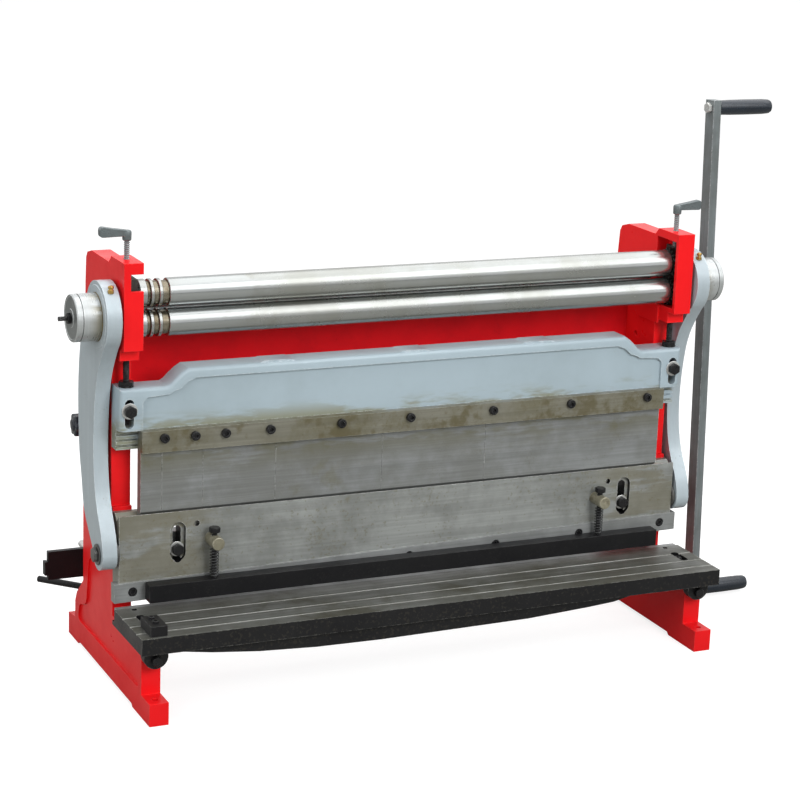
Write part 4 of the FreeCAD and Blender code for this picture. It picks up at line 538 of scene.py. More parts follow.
class Shape:
    """A mesh being shaped, in millimetres, and the steps that most pieces share."""

    def __init__(self) -> None:
        """Start with nothing."""
        self.mesh = bmesh.new()

    @classmethod
    def plate(cls, outline: Sequence[Point], axis: Axis, one: float, other: float) -> "Shape":
        """Draw an outline out into a plate.

        Args:
            outline: Points in the two other axes, in their order X, Y, Z.
            axis: The axis that the plate is drawn out along.
            one: One of its faces.
            other: The other face.

        Returns:
            The closed plate.
        """
        shape = cls()
        low, high = sorted((one, other))
        first, second = axis.others()
        corners = []
        for point in outline:
            place = [low] * 3
            place[first], place[second] = point
            corners.append(shape.mesh.verts.new(place))
        face = shape.mesh.faces.new(corners)
        drawn = bmesh.ops.extrude_face_region(shape.mesh, geom=[face])
        moved = [item for item in drawn["geom"] if isinstance(item, bmesh.types.BMVert)]
        bmesh.ops.translate(shape.mesh, verts=moved, vec=axis.way() * (high - low))
        if not face.is_valid or face not in shape.mesh.faces:
            shape.mesh.faces.new(corners)
        bmesh.ops.recalc_face_normals(shape.mesh, faces=shape.mesh.faces)
        return shape

    @classmethod
    def turned(cls, profile: Sequence[Point], axis: Axis, centre: Sequence[float],
               steps: int = 48, ring: bool = False) -> "Shape":
        """Turn a profile on a lathe.

        Args:
            profile: Places along the axis and radii.
            axis: The axis it turns about.
            centre: A point on the axis.
            steps: How many steps make the full turn.
            ring: Whether it stays open in the middle; otherwise both ends are closed.

        Returns:
            The turned shape.
        """
        shape = cls()
        way, side = axis.way(), axis.way(1)
        middle = Vector(centre)
        middle[axis.value] = 0.0
        points = list(profile)
        if not ring:
            points.insert(0, (points[0][0], 0.0))
            if points[-1][1] > 0.0:
                points.append((points[-1][0], 0.0))
        chain = [shape.mesh.verts.new(middle + way * place + side * radius)
                 for place, radius in points]
        edges = [shape.mesh.edges.new(pair) for pair in zip(chain, chain[1:])]
        bmesh.ops.spin(shape.mesh, geom=chain + edges, cent=middle, axis=way,
                       angle=2 * math.pi, steps=steps, use_merge=True)
        bmesh.ops.remove_doubles(shape.mesh, verts=shape.mesh.verts, dist=MERGED)
        bmesh.ops.recalc_face_normals(shape.mesh, faces=shape.mesh.faces)
        return shape

    @classmethod
    def of_node(cls, node: str) -> "Shape":
        """A merged copy of a CAD node, to be finished further."""
        shape = cls()
        shape.mesh.from_mesh(frame["nodes"][node].data)
        bmesh.ops.scale(shape.mesh, verts=shape.mesh.verts, vec=(1 / MM,) * 3)
        bmesh.ops.remove_doubles(shape.mesh, verts=shape.mesh.verts, dist=CAD_MERGED)
        bmesh.ops.dissolve_limit(shape.mesh, angle_limit=math.radians(1.0),
                                 verts=shape.mesh.verts, edges=shape.mesh.edges)
        return shape

    @staticmethod
    def gathered(shapes: Iterable["Shape"]) -> "Shape":
        """Several shapes as one."""
        whole, *others = shapes
        for other in others:
            whole.add(other)
        return whole

    def add(self, other: "Shape") -> "Shape":
        """Take another shape's mesh into this one."""
        spare = bpy.data.meshes.new("spare")
        other.mesh.to_mesh(spare)
        self.mesh.from_mesh(spare)
        bpy.data.meshes.remove(spare)
        other.mesh.free()
        return self

    def carved(self, *tools: "Shape") -> "Shape":
        """Cut other closed shapes, which are used up, out of this one."""
        block = self.loose_object("block")
        cutters = [tool.loose_object("cutter") for tool in tools]
        for cutter in cutters:
            step = block.modifiers.new("cut", "BOOLEAN")
            step.operation, step.solver, step.object = "DIFFERENCE", "EXACT", cutter
        bpy.context.view_layer.update()
        graph = bpy.context.evaluated_depsgraph_get()
        cut = bpy.data.meshes.new_from_object(block.evaluated_get(graph))
        self.mesh = bmesh.new()
        self.mesh.from_mesh(cut)
        for used in [block, *cutters]:
            data = used.data
            bpy.data.objects.remove(used)
            bpy.data.meshes.remove(data)
        bpy.data.meshes.remove(cut)
        return self

    def loose_object(self, name: str) -> bpy.types.Object:
        """Turn the shape into an object in the scene, as it is."""
        mesh = bpy.data.meshes.new(name)
        self.mesh.to_mesh(mesh)
        self.mesh.free()
        made = bpy.data.objects.new(name, mesh)
        bpy.context.scene.collection.objects.link(made)
        return made

    def bevelled(self, edges: list, width: float, segments: int) -> "Shape":
        """Round some edges, starting that far back from each."""
        bmesh.ops.bevel(self.mesh, geom=edges, offset=width, offset_type="OFFSET",
                        segments=segments, profile=0.5, affect="EDGES", clamp_overlap=True,
                        material=-1)
        return self

    def chamfered(self, width: float, segments: int = 1, angle: float = 50.0) -> "Shape":
        """Round every edge that turns by more than an angle in degrees."""
        limit = math.radians(angle)
        sharp = [edge for edge in self.mesh.edges
                 if len(edge.link_faces) == 2 and edge.calc_face_angle(0.0) > limit]
        return self.bevelled(sharp, width, segments)

    def in_metres(self) -> "Shape":
        """Scale the shape from millimetres to metres."""
        bmesh.ops.scale(self.mesh, verts=self.mesh.verts, vec=(MM,) * 3)
        return self

    def piece(self, name: str, finish: Finish, node: str, bevel: float = 0.0,
              segments: int = 2) -> bpy.types.Object:
        """Finish the shape as a piece that stands for a CAD node.

        Args:
            name: The piece's name.
            finish: Its finish.
            node: The CAD node that it stands for.
            bevel: Width of the round on its sharp edges, or 0 for none.
            segments: Steps across that round.

        Returns:
            The piece, riding on its node's body.
        """
        self.in_metres()
        bmesh.ops.recalc_face_normals(self.mesh, faces=self.mesh.faces)
        for face in self.mesh.faces:
            face.smooth = True
        for edge in self.mesh.edges:
            edge.smooth = edge.calc_face_angle(0.0) < SMOOTH_BELOW
        made = self.loose_object(name)
        if bevel > 0.0:
            step = made.modifiers.new("rounded_edges", "BEVEL")
            step.width, step.segments = bevel * MM, segments
            step.limit_method, step.angle_limit = "ANGLE", SHARP_ABOVE
            step.harden_normals = True
        made.data.materials.append(PAINTSHOP.material(finish))
        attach(made, frame["nodes"][node]["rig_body"])
        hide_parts(node)
        log.info("%s: %d faces", name, len(made.data.polygons))
        return made


def dress(node: str, name: str, finish: Finish, bevel: float = 0.0,
          segments: int = 2) -> bpy.types.Object:
    """Make a piece of a CAD node's own shape, with its finish and the round on its edges."""
    return Shape.of_node(node).piece(name, finish, node, bevel, segments)


def repaint(piece: bpy.types.Object, finish: Finish,
            chosen: Callable[[bpy.types.MeshPolygon], bool]) -> None:
    """Give some of a piece's faces another finish.

    Args:
        piece: The piece.
        finish: The other finish.
        chosen: Tells whether a face, which is in metres, is one of them.
    """
    piece.data.materials.append(PAINTSHOP.material(finish))
    for face in filter(chosen, piece.data.polygons):
        face.material_index = len(piece.data.materials) - 1


def span(node: str) -> tuple[Vector, Vector]:
    """A CAD node's lowest and highest corners, in millimetres."""
    low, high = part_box(node)
    return low / MM, high / MM


def middle(node: str) -> Vector:
    """The middle of a CAD node's box, in millimetres."""
    low, high = span(node)
    return (low + high) / 2


def flanks(node: str, side: str) -> Point:
    """Where a CAD node starts and ends along X, seen from the machine's middle."""
    low, high = span(node)
    return (low.x, high.x) if side == "right" else (high.x, low.x)


def hexagon(flats: float, turn: float, first: float, second: float) -> list[Point]:
    """The corners of a hexagon.

    Args:
        flats: Its width across flats.
        turn: Degrees that it is turned by.
        first: Its middle along the first axis.
        second: Its middle along the second axis.

    Returns:
        Its six corners.
    """
    radius = flats / math.sqrt(3.0)
    turns = [math.radians(60.0 * corner + turn) for corner in range(6)]
    return [(radius * math.cos(angle) + first, radius * math.sin(angle) + second)
            for angle in turns]


def threaded(start: float, end: float, radius: float, pitch: float = 1.75) -> list[Point]:
    """The profile of a threaded length, as close rings.

    Args:
        start: Where the thread starts along the axis.
        end: Where it ends.
        radius: Its outer radius.
        pitch: Distance from ring to ring.

    Returns:
        The profile, with no ends.
    """
    low, high = sorted((start, end))
    rings = max(1, round((high - low) / pitch))
    step = (high - low) / rings
    root = radius - 0.35 * pitch
    profile: list[Point] = []
    for ring in range(rings):
        place = low + ring * step
        profile += [(place, root), (place + 0.35 * step, radius), (place + 0.60 * step, radius)]
    return profile + [(high, root)]


def washer(axis: Axis, centre: Sequence[float], inner: float, outer: float, one: float,
           other: float) -> Shape:
    """A flat ring between two places along an axis, with its outer edge turned off."""
    low, high = sorted((one, other))
    edge = 0.25 * (high - low)
    return Shape.turned([(low, inner), (low, outer - edge), (low + edge, outer),
                         (high - edge, outer), (high, outer - edge), (high, inner),
                         (low, inner)], axis, centre, 36, ring=True)


# ---- screws and bolts

class Facing(Enum):
    """The way a screw's head points: its axis, and the sign along it."""

    FRONT = (Axis.Y, -1.0)
    UP = (Axis.Z, 1.0)
    LEFT = (Axis.X, -1.0)
    RIGHT = (Axis.X, 1.0)


@dataclass
class Fastener:
    """A screw or bolt: a round head or one with flats, its seat, its socket and its shank."""

    facing: Facing
    seat: Corner
    height: float
    shank: float = 0.0
    length: float = 0.0
    radius: float = 0.0
    flats: float = 0.0
    socket: float = 0.0
    thread: bool = False

    def place(self, along: float) -> float:
        """A place along the machine's axis, from a height above the seat."""
        axis, sign = self.facing.value
        return self.seat[axis.value] + sign * along

    def six_sided(self, flats: float, turn: float, start: float, end: float) -> Shape:
        """A six-sided length about the screw's axis, between two heights above the seat."""
        axis = self.facing.value[0]
        first, second = (self.seat[other] for other in axis.others())
        return Shape.plate(hexagon(flats, turn, first, second), axis, self.place(start),
                           self.place(end))

    def head(self) -> Shape:
        """The head: six-sided with its corners turned off, or round with a narrow chamfer."""
        if self.flats:
            head = self.six_sided(self.flats, HEX_TURN, 0.0, self.height)
            return head.chamfered(0.06 * self.flats)
        edge = 0.12 * self.radius
        profile = [(self.place(0.0), self.radius), (self.place(self.height - edge), self.radius),
                   (self.place(self.height), self.radius - edge)]
        return Shape.turned(profile, self.facing.value[0], self.seat, 28)

    def build(self) -> Shape:
        """The whole fastener."""
        head = self.head()
        if self.socket:
            head.carved(self.six_sided(self.socket, SOCKET_TURN, 0.45 * self.height,
                                       self.height + 1.0))
        if self.length > 0.0:
            ends = sorted((self.place(0.0), self.place(-self.length)))
            body = (threaded(*ends, self.shank) if self.thread
                    else [(end, self.shank) for end in ends])
            head.add(Shape.turned(body, self.facing.value[0], self.seat, 20))
        return head


# ---- side frames

@dataclass
class SideFrames:
    """The two red castings, the sheet behind the rolls and the gear cover."""

    edge: float = 3.2
    web_depth: float = 4.0
    web_floor: float = 47.0
    web_top: float = 190.0
    cover_hole: Corner = (0.0, 47.0, 544.0)
    rim_width: float = 10.0
    rim_height: float = 5.0

    def web(self, side: str) -> Shape:
        """The shallow recess in the outer face of a casting's foot."""
        low, high = span(f"{side}_frame")
        _, outer = flanks(f"{side}_frame", side)
        front, back = low.y + 62.0, high.y - 58.0
        outline = rounded([(front, self.web_floor, 10.0), (back, self.web_floor, 14.0),
                           (back - 10.0, 78.0, 12.0), (back - 52.0, 92.0, 30.0),
                           (120.0, 128.0, 30.0), (112.0, self.web_top, 26.0),
                           (-8.0, self.web_top, 26.0), (-14.0, 112.0, 30.0),
                           (front, 108.0, 12.0)])
        return Shape.plate(outline, Axis.X, outer - SIDES[side] * self.web_depth,
                           outer + SIDES[side] * 5.0)

    def casting(self, side: str) -> None:
        """One frame casting, from its node, with its recess and softened edges."""
        node = f"{side}_frame"
        casting = Shape.of_node(node).carved(self.web(side))
        if side == "right":
            inner, _ = flanks(node, side)
            casting.carved(Shape.turned([(inner - 1.0, 5.0), (inner + 9.0, 5.0)], Axis.X,
                                        self.cover_hole, 20))
        casting.piece(f"{node}_casting", RED, node, self.edge, 3)

    def panel(self) -> None:
        """The folded sheet behind the rolls, with a rolled rim along its top and foot."""
        low, high = span("rear_panel")
        sheet = Shape.of_node("rear_panel")
        front = high.y - 1.0
        back = high.y - 1.0 + self.rim_width
        for height, rise in ((low.z, self.rim_height), (high.z, -self.rim_height)):
            outline = rounded([(front, height, 0.0), (back, height, 3.0),
                               (back, height + rise, 3.0), (front, height + rise, 0.0)])
            sheet.add(Shape.plate(outline, Axis.X, low.x + 1.0, high.x - 1.0))
        sheet.piece("rear_sheet", PANEL_RED, "rear_panel", 1.0)

    def build(self) -> None:
        """Build the castings, the sheet, the cover and what is bolted between them."""
        for side in SIDES:
            self.casting(side)
        self.panel()
        dress("gear_cover", "gear_cover_plate", RED, 1.0)
        dress("guide_bar", "ram_guide_bar", BLADE, 1.0)
        dress("bearing_blocks", "roll_bearings", BLOCK_CAST, 1.0)


# ---- rolls, gears, hubs and arms

@dataclass
class Rolls:
    """The three rolls and the gears between them."""

    radius: float = 24.3
    half: float = 513.0
    rear_half: float = 506.0
    lead: float = 2.0
    grooves: tuple[Point, ...] = ((14.0, 6.0), (26.0, 9.0), (41.0, 12.0))
    groove_depth: float = 4.0
    grooves_end: float = 60.0
    steps: int = 96

    def profile(self, node: str, journal: float, grooved: bool) -> list[Point]:
        """A roll's half section, with chamfered ends and round-shouldered wire grooves.

        Args:
            node: The roll's node, which gives the reach of its journals.
            journal: The journals' radius.
            grooved: Whether it has wire grooves near its left end.

        Returns:
            Places along X and radii, from end to end.
        """
        low, high = span(node)
        half = self.half if grooved else self.rear_half
        radius, floor = self.radius, self.radius - self.groove_depth
        profile = [(low.x, journal), (-half, journal), (-half, radius - 1.5),
                   (-half + self.lead, radius)]
        for start, width in self.grooves if grooved else ():
            near, far = start - half, start + width - half
            profile += [(near - 0.8, radius), (near, radius - 0.8), (near + 0.7, floor),
                        (far - 0.7, floor), (far, radius - 0.8), (far + 0.8, radius)]
        return profile + [(profile[-1][0] + 3.0, radius), (half - self.lead - 3.0, radius),
                          (half - self.lead, radius), (half, radius - 1.5), (half, journal),
                          (high.x, journal)]

    def in_oily_shaded_groove(self, spot: Vector) -> bool:
        """Whether a place, measured from a roll's middle, is down in one of its grooves."""
        depth = self.radius - math.hypot(spot.y, spot.z)
        return depth > 0.5 and self.lead < spot.x + self.half < self.grooves_end

    def build(self) -> None:
        """Turn the rolls and dress the gears."""
        for node, journal, grooved in (("lower_roll", 11.0, True), ("upper_roll", 12.0, True),
                                       ("rear_roll", 10.0, False)):
            centre = middle(node)
            roll = Shape.turned(self.profile(node, journal, grooved), Axis.X, centre, self.steps)
            piece = roll.piece(f"{node}_turned", ROLL, node)
            if grooved:
                # The groove walls and floors take the darker brown finish: partly oil, partly
                # painted shade.
                repaint(piece, ROLL_GROOVE,
                        lambda face: self.in_oily_shaded_groove(face.center / MM - centre))
        for node in ("lower_roll_gear", "upper_roll_gear", "idler_gear"):
            dress(node, f"{node}_teeth", GEAR, 0.3, 1)
        dress("crank_shaft", "crank_shaft_and_pinion", GEAR, 0.3, 1)


@dataclass
class Hubs:
    """The bright turned hubs in the arms' heads, and the screws in their faces."""

    radius: float = 40.4
    hollow: float = 35.0
    cap: float = 22.0
    groove: float = 9.5
    groove_width: float = 2.2
    groove_depth: float = 1.8
    chamfer: float = 1.8
    screw: float = 4.0
    nut_height: float = 7.0

    def hub(self, side: str) -> None:
        """One hub, turned: hollow inside, grooved near its outer face."""
        node, sign = f"hub_{side}", SIDES[side]
        inner, outer = flanks(node, side)
        radius, floor = self.radius, self.radius - self.groove_depth
        rim = ((self.groove + self.groove_width, radius),
               (self.groove + 0.7 * self.groove_width, floor),
               (self.groove + 0.3 * self.groove_width, floor), (self.groove, radius),
               (self.chamfer, radius), (0.0, radius - self.chamfer), (0.0, radius - 4.0),
               (0.8, radius - 5.0), (0.8, 16.0), (0.0, 15.0))
        profile = [(outer - sign * self.cap, self.hollow), (inner, self.hollow), (inner, radius)]
        profile += [(outer - sign * depth, reach) for depth, reach in rim]
        piece = Shape.turned(profile, Axis.X, middle(node), 96).piece(f"{node}_turned", BRIGHT,
                                                                      node)
        repaint(piece, HUB_FACE, lambda face: sign * face.normal.x > 0.9)

    def face_screw(self, side: str) -> None:
        """The screw and nut in a hub's face."""
        node, sign = f"hub_screw_{side}", SIDES[side]
        root, tip = flanks(node, side)
        centre = middle(node)
        nut = Fastener(Facing[side.upper()], (root, centre.y, centre.z), self.nut_height,
                       flats=17.0).build()
        thread = threaded(root + sign * self.nut_height, tip - sign * 0.8, self.screw, 1.25)
        nut.add(Shape.turned(thread, Axis.X, centre, 20))
        nut.piece(f"{node}_nut", BLACK_STEEL, node, 0.2, 1)

    def oiler(self, side: str) -> None:
        """A ball oiler on the edge of an arm's head."""
        node = f"oil_cup_{side}"
        foot, centre = span(node)[0].z, middle(node)
        collar = Shape.plate(hexagon(9.4, 0.0, centre.x, centre.y), Axis.Z, foot, foot + 6.0)
        cup = ((6.0, 3.6), (8.0, 3.4), (8.6, 4.9), (11.4, 4.9), (12.6, 4.2), (12.6, 2.6),
               (13.2, 2.2), (13.8, 1.2), (14.0, 0.0))
        collar.chamfered(0.5).add(Shape.turned([(foot + rise, radius) for rise, radius in cup],
                                               Axis.Z, centre, 28))
        collar.piece(f"{node}_brass", BRASS, node, 0.15, 1)

    def build(self) -> None:
        """Build both sides."""
        for side in SIDES:
            self.hub(side)
            self.face_screw(side)
            self.oiler(side)


@dataclass
class Arms:
    """The bowed arms that carry the hubs' throw down to the ram, and their pins."""

    edge: float = 3.0
    ring_inner: float = 41.2
    ring_outer: float = 53.0
    ring_rise: float = 1.2
    pin: float = 10.0

    def arm(self, side: str) -> None:
        """One arm, with the raised ring round its hub."""
        node = f"arm_{side}"
        face = flanks(node, side)[1]
        proud = face + SIDES[side] * self.ring_rise
        ring = Shape.turned([(face, self.ring_inner), (face, self.ring_outer + 1.2),
                             (proud, self.ring_outer), (proud, self.ring_inner + 0.8),
                             (face, self.ring_inner)], Axis.X, middle(f"hub_{side}"), 72,
                            ring=True)
        dress(node, f"{node}_forged", ARM, self.edge, 3)
        ring.piece(f"{node}_ring", ARM, node)

    def grease(self, side: str) -> None:
        """The dark line of old oil where a hub leaves its arm."""
        sign = SIDES[side]
        face = flanks(f"arm_{side}", side)[1] + sign * self.ring_rise
        section = ((-1.0, 40.5), (-1.0, 41.6), (0.2, 41.4), (0.9, 40.9), (1.2, 40.5))
        line = Shape.turned([(face + sign * rise, radius) for rise, radius in section], Axis.X,
                            middle(f"hub_{side}"), 60, ring=True)
        line.piece(f"hub_oil_line_{side}", OLD_OIL, f"arm_{side}")

    def pins(self) -> None:
        """The pins at the ram's ends: discs, washers and six-sided heads."""
        low, high = span("arm_pins")
        centre = (0.0, (low.y + high.y) / 2, (low.z + high.z) / 2)
        sets: list[Shape] = []
        for side, sign in SIDES.items():
            inner, outer = flanks(f"arm_{side}", side)
            end = flanks("ram", side)[1]
            face = outer + sign * 2.9
            sets += [washer(Axis.X, centre, self.pin, 24.0, end, inner - sign * 0.3),
                     washer(Axis.X, centre, self.pin, 18.5, outer + sign * 0.4, face),
                     Fastener(Facing[side.upper()], (face, *centre[1:]), 7.0, self.pin,
                              abs(face - end) + 25.0, flats=24.0).build()]
        Shape.gathered(sets).piece("arm_pin_sets", PIN_STEEL, "arm_pins", 0.3, 1)

    def build(self) -> None:
        """Build both arms and their pins."""
        for side in SIDES:
            self.arm(side)
            self.grease(side)
        self.pins()


# ---- ram, blades and hold-down

@dataclass
class Ram:
    """The sliding ram with its blade, and the bar that holds the sheet down."""

    stud_radius: float = 11.5
    stud_bore: float = 5.6
    stud_neck: float = 14.0
    through: float = 1500.0
    bolt_place: float = 380.0
    bolt_head: float = 9.5
    blade_screw_radius: float = 8.0
    bar_lift: float = 20.5
    bores_from: float = 390.0
    bores_to: float = 460.0

    def casting(self) -> None:
        """The ram, with the walls of its slots and holes painted dark as shade."""
        ram = dress("ram", "ram_casting_piece", RAM_STEEL, 1.3)
        # Painted shade: the walls of the slots and holes near the ram's ends take the black oxide
        # finish, to look dark.
        repaint(ram, BLACK_STEEL, lambda face: abs(face.normal.y) < 0.5
                and self.bores_from < abs(face.center.x) / MM < self.bores_to)

    def studs(self) -> None:
        """The round studs that the hold-down bolts pass through."""
        low, high = span("spring_studs")
        radius, neck = self.stud_radius, high.y - self.stud_neck
        studs = []
        for sign in SIDES.values():
            place = sign * (high.x - radius)
            stud = Shape.turned([(low.y, radius - 1.2), (low.y + 1.2, radius), (neck, radius),
                                 (neck, radius - 3.0), (high.y, radius - 3.0)], Axis.Y,
                                (place, 0.0, (low.z + high.z) / 2), 40)
            bore = Shape.turned([(-self.through, self.stud_bore), (self.through, self.stud_bore)],
                                Axis.Z, (place, middle("hold_down_bolts").y, 0.0), 24)
            studs.append(stud.carved(bore))
        Shape.gathered(studs).piece("hold_down_studs", YELLOW_ZINC, "spring_studs", 0.4, 2)

    def bolts(self) -> None:
        """The sprung bolts, threaded down to the bar."""
        low, high = span("hold_down_bolts")
        foot = high.z - self.bolt_head
        pair = [Fastener(Facing.UP, (sign * self.bolt_place, (low.y + high.y) / 2, foot),
                         self.bolt_head, 5.0, foot - low.z, flats=18.0, thread=True).build()
                for sign in SIDES.values()]
        Shape.gathered(pair).piece("hold_down_bolt_pair", BLACK_STEEL, "hold_down_bolts", 0.25, 1)

    def blade_screws(self) -> None:
        """The socket screws along the blade, which rise with its slope."""
        low, high = span("blade_screws")
        reach = high.x - self.blade_screw_radius
        rise = (high.z - low.z - 2 * self.blade_screw_radius) / (2 * reach)
        screws = []
        for step in range(-3, 4):
            place = reach * step / 3
            seat = (place, low.y + 5.5, (low.z + high.z) / 2 + place * rise)
            screws.append(Fastener(Facing.FRONT, seat, 5.5, 4.5, 11.0,
                                   radius=self.blade_screw_radius, socket=8.0).build())
        Shape.gathered(screws).piece("blade_socket_screws", BLACK_STEEL, "blade_screws", 0.2, 1)

    def spring(self, node: str) -> None:
        """A coil spring, with a mesh of its own."""
        coil = dress(node, f"{node}_coil", SPRING)
        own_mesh(coil)

    def build(self) -> None:
        """Build the ram and all that rides on it."""
        self.casting()
        dress("upper_blade", "upper_blade_ground", BLADE, 0.5)
        self.blade_screws()
        self.studs()
        self.bolts()
        for side in SIDES:
            self.spring(f"hold_spring_{side}")
        dress("hold_down_bar", "hold_down_bar_flat", BLACK_PAINT, 1.6, 3)


# ---- beam, fingers and strip

@dataclass
class Beam:
    """The fixed beam with its fingers, clamp strip and screws."""

    rim_round: float = 7.0
    slot_x: Point = (519.0, 538.0)
    slot_z: Point = (468.0, 523.0)
    pads: tuple[Point, ...] = ((-286.0, -236.0), (-25.0, 20.0), (220.0, 272.0))
    pad_rise: float = 2.6
    pad_slope: float = 9.0
    lip_grooves: tuple[float, ...] = (433.0, 443.0, 453.0)
    lip_groove_width: float = 3.5
    lip_from: float = 506.0
    lip_back: float = -40.0
    strip_places: tuple[float, ...] = (-470.0, -415.0, -360.0, -278.0, -145.0, -12.0, 152.0,
                                       311.0, 472.0)
    screw_head: float = 7.0
    slot_bolts: tuple[tuple[float, ...], ...] = ((529.0, 501.0, 14.0, 2.5, 78.0),
                                                 (440.0, 246.0, 13.5, 3.0, 44.0))
    ram_front: float = -57.4
    fingers: int = 6

    def rounded_rim(self, beam: Shape) -> None:
        """Round the front edge of the beam's top and ends, but not of its slots."""
        low, high = span("upper_beam")
        centre = (low + high) / 2
        edges = []
        for edge in beam.mesh.edges:
            ends = [corner.co for corner in edge.verts]
            spot = (ends[0] + ends[1]) / 2
            slot = (self.slot_x[0] < abs(spot.x) < self.slot_x[1]
                    and self.slot_z[0] < spot.z < self.slot_z[1])
            if slot or any(abs(end.y - low.y) > 0.1 for end in ends) or len(edge.link_faces) != 2:
                continue
            sides = [face.normal for face in edge.link_faces if abs(face.normal.y) < 0.5]
            if any(side.dot(spot - centre) > 0.0 and side.z > -0.5 for side in sides):
                edges.append(edge)
        beam.bevelled(edges, self.rim_round, 4)

    def casting(self) -> None:
        """The beam's casting, with raised pads on its rim and grooves in its end lips."""
        low, high = span("upper_beam")
        beam = Shape.of_node("upper_beam")
        beam.mesh.normal_update()
        self.rounded_rim(beam)
        beam.carved(*(Shape.plate([(low.y, height), (self.lip_back, height),
                                   (self.lip_back, height + self.lip_groove_width),
                                   (low.y, height + self.lip_groove_width)], Axis.X,
                                  sign * self.lip_from, sign * (high.x + 2.0))
                      for sign in SIDES.values() for height in self.lip_grooves))
        foot, top = high.z - 1.0, high.z + self.pad_rise
        for start, end in self.pads:
            outline = [(start - self.pad_slope, foot), (end + self.pad_slope, foot), (end, top),
                       (start, top)]
            beam.add(Shape.plate(outline, Axis.Y, low.y + 5.0, high.y - 6.0))
        beam.piece("upper_beam_casting", CAST_GREY, "upper_beam", 1.8, 3)

    def screws(self) -> None:
        """The socket screws along the clamp strip."""
        low, high = span("clamp_screws")
        seat_y = low.y + self.screw_head
        row = [Fastener(Facing.FRONT, (place, seat_y, (low.z + high.z) / 2), self.screw_head,
                        5.0, high.y - low.y - self.screw_head, radius=8.0, socket=8.0).build()
               for place in self.strip_places]
        Shape.gathered(row).piece("clamp_socket_screws", BLACK_STEEL, "clamp_screws", 0.2, 1)

    def jack(self, side: str) -> None:
        """A threaded jack screw between beam and head, with its collar and nut."""
        node = f"beam_jack_{side}"
        low, high = span(node)
        centre = middle(node)
        foot, nut_top = low.z + 2.0, low.z + 9.7
        collar = Shape.turned([(low.z, 13.0), (foot, 13.0), (low.z + 2.2, 0.0)], Axis.Z, centre,
                              36)
        nut = Shape.plate(hexagon(23.5, 0.0, centre.x, centre.y), Axis.Z, foot, nut_top)
        collar.add(nut.chamfered(0.8))
        collar.add(Shape.turned(threaded(nut_top, high.z, 5.5), Axis.Z, centre, 24))
        collar.piece(f"{node}_screw", BLACK_STEEL, node, 0.2, 1)

    def bolts(self) -> None:
        """The bolts through the beam's and the ram's slots, and their washers."""
        bolts: list[Shape] = []
        rings: list[Shape] = []
        fronts = (span("upper_beam")[0].y, self.ram_front)
        for sign in SIDES.values():
            for face, (x, z, radius, thick, length) in zip(fronts, self.slot_bolts):
                seat = (sign * x, face - thick, z)
                bolts.append(Fastener(Facing.FRONT, seat, 9.5, 6.0, length, flats=19.5).build())
                rings.append(washer(Axis.Y, seat, 6.4, radius, face - thick, face))
        Shape.gathered(bolts).piece("slot_bolts", BLACK_STEEL, "frame_bolts", 0.25, 1)
        Shape.gathered(rings).piece("slot_washers", ZINC, "frame_washers", 0.2, 1)

    def build(self) -> None:
        """Build the beam and all that is screwed to it."""
        self.casting()
        for number in range(1, self.fingers + 1):
            dress(f"finger_{number}", f"bending_finger_{number}", FINGER, 0.5)
        dress("clamp_strip", "finger_clamp_strip", STRIP, 1.0)
        self.screws()
        for side in SIDES:
            self.jack(side)
        self.bolts()


# ---- pressure screws and knobs

